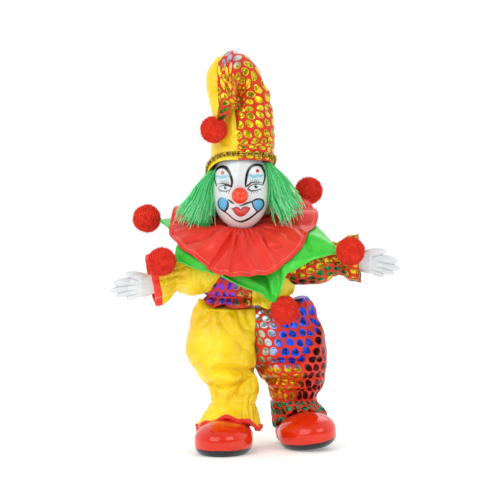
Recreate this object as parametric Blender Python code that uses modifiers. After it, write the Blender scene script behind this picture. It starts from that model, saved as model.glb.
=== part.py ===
"""Clown doll: glazed ceramic head, hands and shoes on a stuffed body in a quartered satin costume.

Metres, +Z up. The doll faces -Y, and +X is on the right of someone who looks at its face.
"""

import math

import bmesh
import bpy
import numpy as np
from mathutils import Matrix, Vector
from mathutils.bvhtree import BVHTree

# Driving dimensions
DOLL_HEIGHT = 0.300  # floor to the fold at the top of the hat
TOUCH_GAP = 0.0003  # left between two pieces that touch
SEAM_GAP = 0.0008  # between the two panels of the hat, whose seam is twisted
CLOTH = 0.0012  # thickness of the collars' satin
COLLAR_CLEARANCE = 0.0008  # from the underside of a collar to what it lies on
HAIR_CLEARANCE = 0.0009
POMPOM_RADIUS = 0.0102
HAT_POMPOM_RADIUS = 0.0096
NOSE_RADIUS = 0.0058
NECK_RADIUS = 0.0092
WRIST_RADIUS = 0.0072
ANKLE_RADIUS = 0.0095
SOLE_BAND = 0.0052  # height of the black paint above a sole
BRAID_WIDTH = 0.0036  # gold braid round the hat's brim
BRAID_THICKNESS = 0.0015
BRAID_ABOVE_BRIM = 0.0022
BINDING_THICKNESS = 0.0016  # red binding on the yellow sleeve and trouser leg
CUFF_BINDING_WIDTH = 0.0054
HEM_BINDING_WIDTH = 0.0030
RIGHT_SHOE_ROLL = math.radians(9)  # this shoe stands on the inner edge of its sole

# The pose and proportions are counted in units, of which the figure is so many high
HEIGHT_IN_UNITS = 293.6
UNIT = DOLL_HEIGHT / HEIGHT_IN_UNITS


def at(x, y, z):
    """A place on the figure in units: across, in depth, and up from the floor."""
    return Vector((x, y, z)) * UNIT


# Finishes: sRGB colour, roughness, metallic
FINISHES = {
    "white_glaze": ("#EFEFEA", 0.12, 0.0),
    "red_glaze": ("#D2200E", 0.12, 0.0),
    "black_glaze": ("#141414", 0.3, 0.0),
    "yellow_satin": ("#F2C617", 0.4, 0.0),
    "red_satin": ("#DE2A22", 0.45, 0.0),
    "green_satin": ("#3CC23C", 0.42, 0.0),
    "foil_dot_cloth": ("#C3331F", 0.38, 0.0),
    "green_fur": ("#2FB85C", 0.8, 0.0),
    "red_yarn": ("#D51B10", 0.95, 0.0),
    "gold_braid": ("#C8A23A", 0.35, 0.6),
}


def linear(hex_colour):
    """An sRGB hex colour as linear red, green, blue and alpha."""
    values = [int(hex_colour[i : i + 2], 16) / 255 for i in (1, 3, 5)]
    return [v / 12.92 if v <= 0.04045 else ((v + 0.055) / 1.055) ** 2.4 for v in values] + [1.0]


def finish(name):
    """The material for one of the finishes, made the first time that it is asked for."""
    if name in bpy.data.materials:
        return bpy.data.materials[name]
    colour, roughness, metallic = FINISHES[name]
    material = bpy.data.materials.new(name)
    material.use_nodes = True
    shader = material.node_tree.nodes["Principled BSDF"]
    shader.inputs["Base Color"].default_value = linear(colour)
    shader.inputs["Roughness"].default_value = roughness
    shader.inputs["Metallic"].default_value = metallic
    material.diffuse_color = linear(colour)
    return material


# Helpers for objects
def collection_named(name):
    collection = bpy.data.collections.new(name)
    bpy.context.scene.collection.children.link(collection)
    return collection


def object_from(bm, name, material, collection):
    """Turns a closed bmesh into a shaded object in a collection."""
    bmesh.ops.recalc_face_normals(bm, faces=bm.faces)
    if bm.calc_volume(signed=True) < 0:
        bmesh.ops.reverse_faces(bm, faces=bm.faces)
    mesh = bpy.data.meshes.new(name)
    bm.to_mesh(mesh)
    bm.free()
    mesh.materials.append(finish(material))
    mesh.shade_smooth()
    mesh.set_sharp_from_angle(angle=math.radians(50))
    piece = bpy.data.objects.new(name, mesh)
    collection.objects.link(piece)
    return piece


def evaluated_mesh(piece):
    """The mesh of an object with its modifiers applied."""
    graph = bpy.context.evaluated_depsgraph_get()
    return bpy.data.meshes.new_from_object(piece.evaluated_get(graph))


def settle(piece):
    """Applies an object's modifiers."""
    mesh = evaluated_mesh(piece)
    piece.modifiers.clear()
    piece.data = mesh
    return piece


def fuse(piece, others):
    """Joins shapes that were cast as one, and removes the ones that went in."""
    for other in others:
        boolean = piece.modifiers.new(f"with_{other.name}", "BOOLEAN")
        boolean.operation = "UNION"
        boolean.object = other
    settle(piece)
    for other in others:
        bpy.data.objects.remove(other)
    return piece


def swollen(piece, by, cutters):
    """A cutter: a copy of a piece, grown by a gap."""
    mesh = evaluated_mesh(piece)
    bm = bmesh.new()
    bm.from_mesh(mesh)
    bm.normal_update()
    for vertex, normal in [(v, v.normal.copy()) for v in bm.verts]:
        vertex.co += normal * by * vertex.calc_shell_factor()
    bm.to_mesh(mesh)
    bm.free()
    cutter = bpy.data.objects.new(f"{piece.name}_space", mesh)
    cutter.hide_render = True
    cutter.display_type = "WIRE"
    cutters.objects.link(cutter)
    return cutter


def carve(piece, neighbours, cutters, gap=TOUCH_GAP):
    """Cuts a soft piece back from the pieces that it meets."""
    for neighbour in neighbours:
        boolean = piece.modifiers.new(f"clear_of_{neighbour.name}", "BOOLEAN")
        boolean.operation = "DIFFERENCE"
        boolean.object = swollen(neighbour, gap, cutters)
    return piece


def largest_body(piece):
    """Keeps the largest connected body of an object, where a cut leaves slivers beside it."""
    settle(piece)
    bm = bmesh.new()
    bm.from_mesh(piece.data)
    left, bodies = set(bm.verts), []
    while left:
        body, edge = set(), [next(iter(left))]
        while edge:
            vertex = edge.pop()
            if vertex not in body:
                body.add(vertex)
                edge.extend(e.other_vert(vertex) for e in vertex.link_edges)
        left -= body
        bodies.append(body)
    largest = max(bodies, key=len)
    bmesh.ops.delete(bm, geom=[v for v in bm.verts if v not in largest], context="VERTS")
    bm.to_mesh(piece.data)
    bm.free()
    return piece


def tree_of(pieces):
    """A search tree over the surfaces of several pieces."""
    bm = bmesh.new()
    for piece in pieces:
        bm.from_mesh(evaluated_mesh(piece))
    bmesh.ops.triangulate(bm, faces=bm.faces)
    bm.normal_update()
    tree = BVHTree.FromBMesh(bm)
    bm.free()
    return tree


STEEPEST_REST = 0.35  # height part of a support's normal, below which a sheet is lifted no further
UPWARD = Vector((0.13, 0.21, 0.97)).normalized()  # askew, so that it meets no edge of a mesh


def inside(point, tree):
    """Whether a point is inside closed surfaces: a ray from it leaves them an odd number of times."""
    crossings = 0
    place = tree.ray_cast(point, UPWARD)[0]
    while place:
        crossings += 1
        place = tree.ray_cast(place + UPWARD * 1e-6, UPWARD)[0]
    return crossings % 2 == 1


def stood_clear(point, tree, clearance):
    """The point, or a place at that clearance where it is nearer to the surfaces, or inside them."""
    for _ in range(4):
        place, normal, _, distance = tree.find_nearest(point)
        within = inside(point, tree)
        if distance >= clearance and not within:
            break
        away = (point - place).normalized() if distance > 1e-6 else normal
        point = place + (-away if within else away) * clearance
    return point


def lifted(point, tree, clearance):
    """The point, or the place above it that clears the top of what it lies on."""
    above = Vector((point.x, point.y, 2 * DOLL_HEIGHT))
    top, normal, _, _ = tree.ray_cast(above, Vector((0, 0, -1)))
    if top is None:
        return point
    rise = clearance / max(abs(normal.z), STEEPEST_REST)
    return Vector((point.x, point.y, max(point.z, top.z + rise)))


def clear_all(bm, clear):
    """Moves a mesh by a rule for its points, and then for places on its faces and edges."""
    for vertex in bm.verts:
        vertex.co = clear(vertex.co)
    for _ in range(6):
        for place in [*bm.faces, *bm.edges]:
            for near in (None, *place.verts):
                weights = [4 if vertex is near else 1 for vertex in place.verts]
                parts = (vertex.co * weight for vertex, weight in zip(place.verts, weights))
                point = sum(parts, Vector()) / sum(weights)
                shift = clear(point) - point
                for vertex in place.verts:
                    vertex.co += shift


# Helpers for shapes
def joined_rings(bm, rings, closed=False):
    """Faces between rings of points that all have as many points, with a cap on each end."""
    loops = [[bm.verts.new(point) for point in ring] for ring in rings]
    around = len(rings[0])
    for lower, upper in zip(loops, loops[1:] + loops[:1] if closed else loops[1:]):
        for i in range(around):
            j = (i + 1) % around
            bm.faces.new((lower[i], lower[j], upper[j], upper[i]))
    if not closed:
        bm.faces.new(loops[0][::-1])
        bm.faces.new(loops[-1])
    return bm


def loft(name, rings, material, collection, closed=False):
    return object_from(joined_rings(bmesh.new(), rings, closed), name, material, collection)


def cut_flat(bm, point, keep_side):
    """Cuts a closed bmesh by a plane, keeps the side that keep_side points to, and closes the cut."""
    geometry = [*bm.verts, *bm.edges, *bm.faces]
    bmesh.ops.bisect_plane(bm, geom=geometry, plane_co=point, plane_no=-Vector(keep_side), clear_outer=True)
    bmesh.ops.holes_fill(bm, edges=[edge for edge in bm.edges if edge.is_boundary], sides=0)


def curve_through(rows, share):
    """Values at a share of a table's first column, on a smooth curve through its rows."""
    rows = np.asarray(rows, float)
    keys, values = rows[:, 0], rows[:, 1:]
    slopes = np.gradient(values, keys, axis=0)
    i = int(np.clip(np.searchsorted(keys, share) - 1, 0, len(keys) - 2))
    width = keys[i + 1] - keys[i]
    t = min(max((share - keys[i]) / width, 0.0), 1.0)
    from_start = (2 * t**3 - 3 * t**2 + 1) * values[i] + (t**3 - 2 * t**2 + t) * width * slopes[i]
    from_end = (3 * t**2 - 2 * t**3) * values[i + 1] + (t**3 - t**2) * width * slopes[i + 1]
    return from_start + from_end


def curve_around(rows, angle):
    """The same for a table whose first column is an angle in degrees, and which closes on itself."""
    rows = np.asarray(rows, float)
    before, after = rows[-2:].copy(), rows[:2].copy()
    before[:, 0] -= 360
    after[:, 0] += 360
    return curve_through(np.vstack([before, rows, after]), rows[0, 0] + (angle - rows[0, 0]) % 360)


def heading(azimuth):
    """The level direction at an azimuth in degrees, from the front towards +X."""
    return Vector((math.sin(math.radians(azimuth)), -math.cos(math.radians(azimuth)), 0))


def ball(name, centre, half_sizes, material, collection, around=10, high=7, turn=None):
    """An ellipsoid with three half sizes, turned about its centre."""
    bm = bmesh.new()
    bmesh.ops.create_uvsphere(bm, u_segments=around, v_segments=high, radius=1)
    bmesh.ops.scale(bm, vec=half_sizes, verts=bm.verts)
    if turn:
        bmesh.ops.transform(bm, matrix=turn.to_4x4(), verts=bm.verts)
    bmesh.ops.translate(bm, vec=centre, verts=bm.verts)
    return object_from(bm, name, material, collection)


def peg(name, start, end, radius, material, collection, around=18):
    """A round bar from one point to another."""
    bm = bmesh.new()
    turn = Vector((0, 0, 1)).rotation_difference(end - start).to_matrix().to_4x4()
    place = Matrix.Translation((start + end) / 2) @ turn
    depth = (end - start).length
    bmesh.ops.create_cone(
        bm, cap_ends=True, segments=around, radius1=radius, radius2=radius, depth=depth, matrix=place
    )
    return object_from(bm, name, material, collection)


# Head, with its neck and nose
HEAD_CENTRE = at(-6.7, 0, 191)
HEAD_HALF = at(21.3, 22.5, 30.8)
HEAD_FULLNESS = 2.3  # 2 is an ellipsoid
CHIN_NARROWING = 0.35  # share of the width that is lost at the lowest point
FACE_FLATNESS = 0.10  # share by which the front is flatter than an egg
NOSE_PLACE = at(-7.4, -24.5, 188.2)
NECK_BOTTOM = at(-6.7, 3.5, 152)
NECK_TOP = at(-6.7, 3.5, 176)
# Swellings and hollows of the face: across and up from its middle, width, height as shares of its depth
FACE_RELIEF = (
    (0.45, 0.10, 0.22, -0.045),  # eye
    (0.52, -0.36, 0.24, 0.035),  # cheek
    (0.0, -0.50, 0.20, 0.035),  # lips
    (0.0, -0.88, 0.22, 0.05),  # chin
)


def head_point(direction):
    """The glazed surface of the head, in one direction from its centre."""
    across, depth, up = direction
    level = math.hypot(across, depth)
    reach = (level**HEAD_FULLNESS + abs(up) ** HEAD_FULLNESS) ** (-1 / HEAD_FULLNESS)
    across, depth, up = across * reach, depth * reach, up * reach
    narrow = 1 - CHIN_NARROWING * max(0.0, -up) ** 3.5
    front = max(0.0, -depth)
    full = 1 - FACE_FLATNESS * front**2
    for side, height, width, swell in FACE_RELIEF:
        away = ((abs(across) - side) ** 2 + (up - height) ** 2) / width**2
        full += swell * front * math.exp(-away)
    shape = (across * narrow, depth * narrow * full, up)
    return HEAD_CENTRE + Vector(a * b for a, b in zip(shape, HEAD_HALF))


def make_head(doll):
    bm = bmesh.new()
    bmesh.ops.create_uvsphere(bm, u_segments=20, v_segments=12, radius=1)
    for vertex in bm.verts:
        vertex.co = head_point(vertex.co)
    head = object_from(bm, "head", "white_glaze", doll)
    neck = peg("neck", NECK_BOTTOM, NECK_TOP, NECK_RADIUS, "white_glaze", doll, 16)
    nose = ball("nose", NOSE_PLACE, [NOSE_RADIUS] * 3, "red_glaze", doll, 12, 8)
    return fuse(head, [neck, nose])


# Hands, in the hand's own frame: the wrist at the origin, fingers along +X, thumb up
FINGERS = {  # base, tip, radius
    "thumb": ((2, -2.5, 6), (12.6, -3.5, 7.4), 2.9),
    "index": ((8, 0, 2.4), (21.5, -1, 0.6), 3.3),
    "middle": ((9, 0, -2), (24.3, -0.5, -5), 2.8),
    "ring": ((8, 0, -5.5), (20.3, 0, -8.8), 2.3),
    "little": ((5, 0, -7.8), (13.4, 0, -11.2), 1.95),
}
PALM_CENTRE = (4, 0, -1)
PALM_HALF = (11.5, 4.7, 9.2)
WRIST_END = 16  # how far the wrist runs back into its sleeve


def make_hand(doll, name, wrist, points_to, droop):
    """A glazed hand whose fingers point to +X or -X, dropped by an angle in degrees."""
    flip = Matrix.Scale(-1, 3, (1, 0, 0)) if points_to < 0 else Matrix.Identity(3)
    turn = Matrix.Rotation(math.radians(droop) * points_to, 3, "Y")

    def placed(point):
        return wrist + turn @ flip @ at(*point)

    palm = ball(name, placed(PALM_CENTRE), at(*PALM_HALF), "white_glaze", doll, 12, 6, turn)
    shapes = [
        peg(f"{name}_wrist", placed((-WRIST_END, 0, 0)), placed((4, 0, -0.5)), WRIST_RADIUS, "white_glaze", doll, 10)
    ]
    for finger, (base, tip, radius) in FINGERS.items():
        base, tip = placed(base), placed(tip)
        lie = Vector((0, 0, 1)).rotation_difference(tip - base).to_matrix()
        half = (radius * UNIT, radius * UNIT, (tip - base).length / 2 + radius * UNIT)
        shapes.append(ball(f"{name}_{finger}", (base + tip) / 2, half, "white_glaze", doll, 6, 6, lie))
    return fuse(palm, shapes)


# Shoes, in the shoe's own frame: toes along -Y, the ankle over the origin, the sole at z = 0
TOE_CENTRE = (0, -25, 10.8)
TOE_HALF = (21.0, 26, 13.4)
HEEL_CENTRE = (0, 3, 8.5)
HEEL_HALF = (14.0, 16, 11)
SHAFT_TOP = 38
SHAFT_BOTTOM = 6
SQUARENESS = 3.2  # how box-like the lower half of a shoe is; 2 is an ellipsoid


def shoe_bulb(name, centre, half, doll, around, high):
    """An ellipsoid whose lower half is squarer, so that its sole is broad."""
    bm = bmesh.new()
    bmesh.ops.create_uvsphere(bm, u_segments=around, v_segments=high, radius=1)
    for vertex in bm.verts:
        x, y, z = vertex.co
        level = math.hypot(x, y)
        if z < 0 and level > 1e-6:
            broad = (1 - abs(z) ** SQUARENESS) ** (1 / SQUARENESS)
            x, y = x / level * broad, y / level * broad
        vertex.co = at(centre[0] + half[0] * x, centre[1] + half[1] * y, centre[2] + half[2] * z)
    return object_from(bm, name, "red_glaze", doll)


def make_shoe(doll, name, ankle, yaw, roll):
    """One glazed shoe with its ankle shaft, its ankle at a place on the floor, and its frame."""
    toe = shoe_bulb(name, TOE_CENTRE, TOE_HALF, doll, 20, 12)
    heel = shoe_bulb(f"{name}_heel", HEEL_CENTRE, HEEL_HALF, doll, 14, 8)
    shaft = peg(f"{name}_shaft", at(0, 0, SHAFT_BOTTOM), at(0, 0, SHAFT_TOP), ANKLE_RADIUS, "red_glaze", doll, 14)
    shoe = fuse(toe, [heel, shaft])
    bm = bmesh.new()
    bm.from_mesh(shoe.data)
    cut_flat(bm, Vector((0, 0, 0)), (0, 0, 1))
    shoe.data.materials.append(finish("black_glaze"))
    for face in bm.faces:
        face.material_index = int(face.calc_center_median().z < SOLE_BAND)
    turn = Matrix.Rotation(math.radians(yaw), 4, "Z") @ Matrix.Rotation(roll, 4, "Y")
    bmesh.ops.transform(bm, matrix=turn, verts=bm.verts)
    place = ankle - Vector((0, 0, min(vertex.co.z for vertex in bm.verts)))
    bmesh.ops.translate(bm, vec=place, verts=bm.verts)
    bmesh.ops.recalc_face_normals(bm, faces=bm.faces)
    bm.to_mesh(shoe.data)
    bm.free()
    return shoe, Matrix.Translation(place) @ turn


# Stuffed body: rows of height, middle across, middle in depth, half width, half depth
TORSO = (
    (106.0, -1.0, 0, 33.0, 22.5),
    (108.5, -1.0, 0, 33.0, 22.5),
    (112.0, -1.5, 0, 31.0, 20.0),
    (115.5, -1.0, 0, 32.5, 21.0),
    (121.6, 0.0, 0, 33.5, 22.0),
    (132.6, -0.5, 0, 32.5, 21.5),
    (142.6, -3.5, 0, 27.0, 18.5),
    (148.6, -5.5, 1, 20.0, 15.5),
    (151.2, -6.5, 1.5, 14.0, 12.5),
)
RUFFLE_WAVE = 1.3
LEG_TOP = TORSO[0][0] - RUFFLE_WAVE - TOUCH_GAP / UNIT
YELLOW_LEG = (
    (16.2, -15.5, -11, 22.4, 21.0),
    (19.7, -15.0, -10, 21.0, 20.0),
    (25.6, -14.0, -9, 19.0, 18.0),
    (32.6, -12.5, -8, 16.4, 15.5),
    (37.1, -12.0, -7, 16.6, 16.0),
    (43.6, -12.0, -6, 18.6, 18.5),
    (51.6, -14.2, -4, 21.6, 21.5),
    (61.6, -17.5, -3, 24.6, 23.5),
    (73.6, -19.0, -2, 27.6, 25.0),
    (84.6, -17.4, -1, 28.4, 24.4),
    (94.0, -14.5, 0, 28.0, 22.5),
    (LEG_TOP, -12.5, 0, 28.0, 20.5),
)
DOTTED_LEG = (
    (16.0, 37.0, 13, 18.8, 19.5),
    (20.0, 36.5, 12.5, 19.2, 19.5),
    (25.6, 34.7, 12, 18.8, 18.5),
    (32.1, 32.5, 11, 17.3, 16.5),
    (36.6, 32.3, 10, 17.5, 17.0),
    (43.6, 33.0, 8, 19.7, 19.5),
    (52.6, 31.7, 5, 23.5, 22.5),
    (63.6, 28.5, 3, 27.8, 24.5),
    (75.6, 27.0, 2, 28.8, 25.0),
    (86.0, 25.1, 1, 28.3, 24.3),
    (95.0, 21.5, 0, 27.2, 22.5),
    (LEG_TOP, 18.5, 0, 26.0, 20.5),
)
TORSO_SEAM = 1.5
LEG_SEAM = 4.0
CROTCH = 56  # height above which the legs press on each other
LEG_SPREAD = 0.25  # slope of the gap between the legs below the crotch
RUFFLE_ROWS = 4  # over how many of the lowest rows a ruffle dies away
HEM_RECESS = (9, 0.6)  # hollow under a trouser hem: its height, and share of the hem's width
WAIST_WAVES = 12
HEM_WAVES = 8
FOLDS = 7  # upright folds round a stuffed leg
FOLD_DEPTH = 0.022
HEM_LIFT = 10  # how much higher a hem is in front, where it lies on the shoe
SOCKET_GAP = 0.0007  # between a shoe's shaft and the stuffing round it
SHOE_CLEARANCE = 0.0005
BOUND_HEM_CLEARANCE = 2 * SHOE_CLEARANCE + HEM_BINDING_WIDTH + 2 * TOUCH_GAP  # leaves the binding room
LEG_SIDES = 24


def body_ring(row, around, wave, waves, folds=0.0, lean=0.0, lift=0.0):
    """A level ring of a stuffed shape, with a wavy height, folds and a lifted front where asked."""
    height, across, depth, half_width, half_depth = row
    ring = []
    for k in range(around):
        angle = 2 * math.pi * k / around
        out = 1 + folds * math.cos(FOLDS * angle)
        x, y = half_width * out * math.cos(angle), half_depth * out * math.sin(angle)
        rise = wave * math.cos(waves * angle) + lean * x + lift * max(0.0, -math.sin(angle)) ** 2
        ring.append(at(across + x, depth + y, height + rise))
    return ring


def make_top(doll, cutters):
    """The stuffed top, in halves of different cloth, and its whole shape as a cutter."""
    waves = [RUFFLE_WAVE * max(0.0, 1 - i / (RUFFLE_ROWS - 1)) for i in range(len(TORSO))]
    rings = [body_ring(row, 30, wave, WAIST_WAVES) for row, wave in zip(TORSO, waves)]
    halves = []
    for name, side, material in (("top_dotted_half", -1, "foil_dot_cloth"), ("top_yellow_half", 1, "yellow_satin")):
        bm = joined_rings(bmesh.new(), rings)
        seam = Vector((TORSO_SEAM * UNIT + side * TOUCH_GAP / 2, 0, 0))
        cut_flat(bm, seam, (side, 0, 0))
        halves.append(object_from(bm, name, material, doll))
    whole = loft("top", rings, "yellow_satin", cutters)
    whole.hide_render = True
    whole.display_type = "WIRE"
    return halves, whole


def shaft_ring(frame, height, radius):
    """A ring round a shoe's shaft, in line with the rings of a leg."""
    turns = [2 * math.pi * k / LEG_SIDES for k in range(LEG_SIDES)]
    across = frame.to_3x3().inverted()
    ring = []
    for turn in turns:
        out = across @ Vector((math.cos(turn), math.sin(turn), 0))
        out.z = 0
        ring.append(frame @ (out.normalized() * radius + Vector((0, 0, height))))
    return ring


def make_leg(doll, name, rows, side, material, lean, shoe, frame, clearance):
    """One stuffed trouser leg, pressed flat along the middle seam, with a socket for the shaft."""
    socket = ANKLE_RADIUS + SOCKET_GAP
    height, across, depth, half_width, half_depth = rows[0]
    rise, share = HEM_RECESS
    recess = (height + rise, across, depth, half_width * share, half_depth * share)
    rings = [
        shaft_ring(frame, SHAFT_TOP * UNIT + SOCKET_GAP, socket),
        shaft_ring(frame, (height + rise) * UNIT, socket),
        body_ring(recess, LEG_SIDES, 0.0, 0, lift=HEM_LIFT / 2),
    ]
    for i, row in enumerate(rows):
        low = max(0.0, 1 - i / RUFFLE_ROWS)
        ring = body_ring(row, LEG_SIDES, RUFFLE_WAVE * low, HEM_WAVES, FOLD_DEPTH, lean * low, HEM_LIFT * low)
        for point in ring:
            below = max(0.0, CROTCH - point.z / UNIT)
            seam = (LEG_SEAM + LEG_SPREAD * below) * UNIT + side * TOUCH_GAP / 2
            point.x = max(point.x, seam) if side > 0 else min(point.x, seam)
        rings.append(ring)
    bm = joined_rings(bmesh.new(), rings)
    tree = tree_of([shoe])
    clear_all(bm, lambda point: stood_clear(point, tree, clearance))
    return object_from(bm, name, material, doll)


def make_hem_trim(doll, shoe):
    """Red binding that carries on below the yellow leg's hem."""
    height, across, depth, half_width, half_depth = YELLOW_LEG[0]
    rings = []
    for drop, inward in ((0, BINDING_THICKNESS), (HEM_BINDING_WIDTH, BINDING_THICKNESS), (HEM_BINDING_WIDTH, 0), (0, 0)):
        low, thin = height - (drop + 2 * TOUCH_GAP) / UNIT, inward / UNIT
        row = (low, across, depth, half_width - thin, half_depth - thin)
        rings.append(body_ring(row, LEG_SIDES, RUFFLE_WAVE, HEM_WAVES, FOLD_DEPTH, 0.0, HEM_LIFT))
    bm = joined_rings(bmesh.new(), rings, closed=True)
    tree = tree_of([shoe])
    clear_all(bm, lambda point: stood_clear(point, tree, SHOE_CLEARANCE))
    return object_from(bm, "hem_trim", "red_satin", doll)


# Sleeves: share of the length from the shoulder, and radius
SLEEVE_PROFILE = (
    (0.0, 15.0),
    (0.16, 16.6),
    (0.34, 17.0),
    (0.54, 16.4),
    (0.68, 12.8),
    (0.75, 12.2),
    (0.87, 15.3),
    (1.0, 17.2),
)
CUFF_RECESS = ((1.0, 14.6), (0.90, 11.5), (0.80, 9.5))  # inside of the cuff: share, radius
CUFF_WAVES = 7
CUFF_WAVE = 0.05
SLEEVE_SIDES = 16


def across_frame(direction):
    """Two directions square to a given one: level, and the other nearest to upright."""
    level = direction.cross(Vector((0, 0, 1))).normalized()
    return level, level.cross(direction).normalized()


def tube_ring(centre, direction, radius, around, wave=0.0, waves=CUFF_WAVES):
    level, upright = across_frame(direction)
    ring = []
    for k in range(around):
        angle = 2 * math.pi * k / around
        out = radius * (1 + wave * math.cos(waves * angle))
        ring.append(centre + level * out * math.cos(angle) + upright * out * math.sin(angle))
    return ring


def make_sleeve(doll, name, shoulder, cuff, material):
    """A stuffed sleeve, gathered before its flared cuff, whose mouth is open."""
    along = cuff - shoulder
    rings = []
    for share, radius in SLEEVE_PROFILE + CUFF_RECESS:
        wave = CUFF_WAVE * max(0.0, (share - 0.75) / 0.25)
        rings.append(tube_ring(shoulder + along * share, along, radius * UNIT, SLEEVE_SIDES, wave))
    return loft(name, rings, material, doll)


def make_cuff_trim(doll, shoulder, cuff):
    """Red binding that carries on from the yellow sleeve's cuff."""
    along = (cuff - shoulder).normalized()
    outer = SLEEVE_PROFILE[-1][1] * UNIT
    flare = 1 + CUFF_BINDING_WIDTH / outer * 0.25
    near, far = cuff + along * TOUCH_GAP, cuff + along * (TOUCH_GAP + CUFF_BINDING_WIDTH)
    rings = [
        tube_ring(near, along, outer, SLEEVE_SIDES, CUFF_WAVE),
        tube_ring(far, along, outer * flare, SLEEVE_SIDES, CUFF_WAVE),
        tube_ring(far, along, outer * flare - BINDING_THICKNESS, SLEEVE_SIDES, CUFF_WAVE),
        tube_ring(near, along, outer - BINDING_THICKNESS, SLEEVE_SIDES, CUFF_WAVE),
    ]
    return loft("cuff_trim", rings, "red_satin", doll, closed=True)


# Collars. Points on a hem are an azimuth, then a radius and a height about the neck
NECK_AXIS = at(-6.7, 3.5, 0)
NECKLINE_CLEARANCE = 0.0008
RUFF_NECKLINE = 162
RUFF_HEM = (
    (0, 52, 131.0),
    (20, 52, 133.2),
    (37, 52, 136.0),
    (60, 52, 144.9),
    (75, 51.5, 156.0),
    (90, 55.3, 163.8),
    (105, 59, 170.6),
    (120, 60.0, 178),
    (135, 61.5, 181),
    (170, 51, 179),
    (205, 50, 178),
    (235, 54, 178),
    (255, 52.5, 170.7),
    (275, 53, 158.5),
    (298, 53, 153.1),
    (320, 52, 143.5),
    (340, 52, 134.0),
)
RUFF_PLEATS = 10
PLEAT_RISE = 2.4
RUFF_ARCH = 4.5
STAR_NECKLINE = 154
STAR_ARCH = 3.0
# Tips and valleys of the green collar by turns: azimuth at the neck, then the place of the hem
STAR_HEM = (
    (25, 20, -39, 109.5),
    (45, 26, -42, 132.7),
    (68, 65, -29, 146.5),
    (95, 50, 4, 162.8),
    (135, 38, 49, 181.7),
    (165, 6, 48, 170.4),
    (193, -21, 67, 167.4),
    (215, -38, 38, 165.8),
    (253, -67, 19, 166.7),
    (275, -52, -8, 154.5),
    (300, -58, -28, 141.0),
    (335, -27, -42, 132.7),
)
POMPOM_PLACES = (
    (25.1, -37, 105.4),
    (73.2, -33, 148.0),
    (44.3, 55, 186.2),
    (-24, 76, 167.9),
    (-76.9, 22, 167.8),
    (-64.3, -30, 140.2),
)


def collar(doll, name, material, neckline, hem, rows, head, supports):
    """A sheet of satin between a neckline and a hem, below the head and on top of its supports."""
    head_tree, tree = tree_of([head]), tree_of(supports)
    clearance = COLLAR_CLEARANCE + CLOTH / 2
    bm = bmesh.new()
    loops = []
    for share in rows:
        points = [inner(share, outer) for inner, outer in zip(neckline, hem)]
        loops.append([bm.verts.new(point) for point in points])
    around = len(hem)
    for inner, outer in zip(loops, loops[1:]):
        for i in range(around):
            j = (i + 1) % around
            bm.faces.new((inner[i], inner[j], outer[j], outer[i]))
    bmesh.ops.triangulate(bm, faces=bm.faces)
    clear_all(bm, lambda point: stood_clear(lifted(point, tree, clearance), head_tree, clearance))
    bmesh.ops.recalc_face_normals(bm, faces=bm.faces)
    if sum(face.normal.z for face in bm.faces) < 0:
        bmesh.ops.reverse_faces(bm, faces=bm.faces)
    mesh = bpy.data.meshes.new(name)
    bm.to_mesh(mesh)
    bm.free()
    mesh.materials.append(finish(material))
    mesh.shade_smooth()
    piece = bpy.data.objects.new(name, mesh)
    doll.objects.link(piece)
    solidify = piece.modifiers.new("cloth", "SOLIDIFY")
    solidify.thickness = CLOTH
    solidify.offset = 0
    return piece


def arched(start, rise):
    """A function that gives a point by share between the start and an end, arched upward."""

    def between(share, end):
        return start.lerp(end, share) + Vector((0, 0, rise * math.sin(math.pi * share)))

    return between


def make_star(doll, head, supports):
    """The six-pointed green collar, which lies on the top and the sleeves."""
    steps = 4
    neck_reach = NECK_RADIUS + NECKLINE_CLEARANCE + CLOTH
    turns = [row[0] for row in STAR_HEM]
    corners = [at(*row[1:]) for row in STAR_HEM]
    for i, place in enumerate(POMPOM_PLACES):
        from_pompom = (corners[2 * i] - at(*place)).normalized()
        corners[2 * i] = at(*place) + from_pompom * (POMPOM_RADIUS + CLOTH + TOUCH_GAP)
    neckline, hem = [], []
    for i, (turn, corner) in enumerate(zip(turns, corners)):
        j = (i + 1) % len(corners)
        for step in range(steps):
            share = step / steps
            azimuth = turn + ((turns[j] - turn) % 360) * share
            start = NECK_AXIS + heading(azimuth) * neck_reach + at(0, 0, STAR_NECKLINE)
            neckline.append(arched(start, STAR_ARCH * UNIT))
            hem.append(corner.lerp(corners[j], share))
    return collar(doll, "star_collar", "green_satin", neckline, hem, (0, 0.3, 0.65, 1), head, supports)


def make_ruff(doll, head, supports):
    """The pleated red collar, which lies on the green one."""
    around = RUFF_PLEATS * 4
    neck_reach = NECK_RADIUS + NECKLINE_CLEARANCE + CLOTH
    neckline, hem = [], []
    for k in range(around):
        azimuth = 360 * k / around
        radius, height = curve_around(RUFF_HEM, azimuth)
        wave = PLEAT_RISE * math.cos(math.radians(RUFF_PLEATS * azimuth))
        start = NECK_AXIS + heading(azimuth) * neck_reach + at(0, 0, RUFF_NECKLINE + wave / 2)
        neckline.append(arched(start, RUFF_ARCH * UNIT))
        hem.append(NECK_AXIS + heading(azimuth) * radius * UNIT + at(0, 0, height + wave))
    return collar(doll, "ruff", "red_satin", neckline, hem, (0, 0.2, 0.45, 0.72, 1), head, supports)


# Hat. The brim is an azimuth, then a radius and a height about the head's axis
BRIM_AXIS = at(-7, 0, 0)
BRIM = (
    (0, 18.8, 214.3),
    (45, 22.8, 213.4),
    (90, 24.7, 209.3),
    (135, 26.0, 199.5),
    (180, 26.0, 190.0),
    (225, 26.5, 190.0),
    (270, 25.0, 202.0),
    (315, 22.4, 212.6),
)
BRIM_TWIST = 5
LOWER_BAND = 9  # the first ring above the brim: rise, and share of the brim's radius
LOWER_BAND_REACH = (0.97, 0.9)  # on the right and on the left
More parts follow.
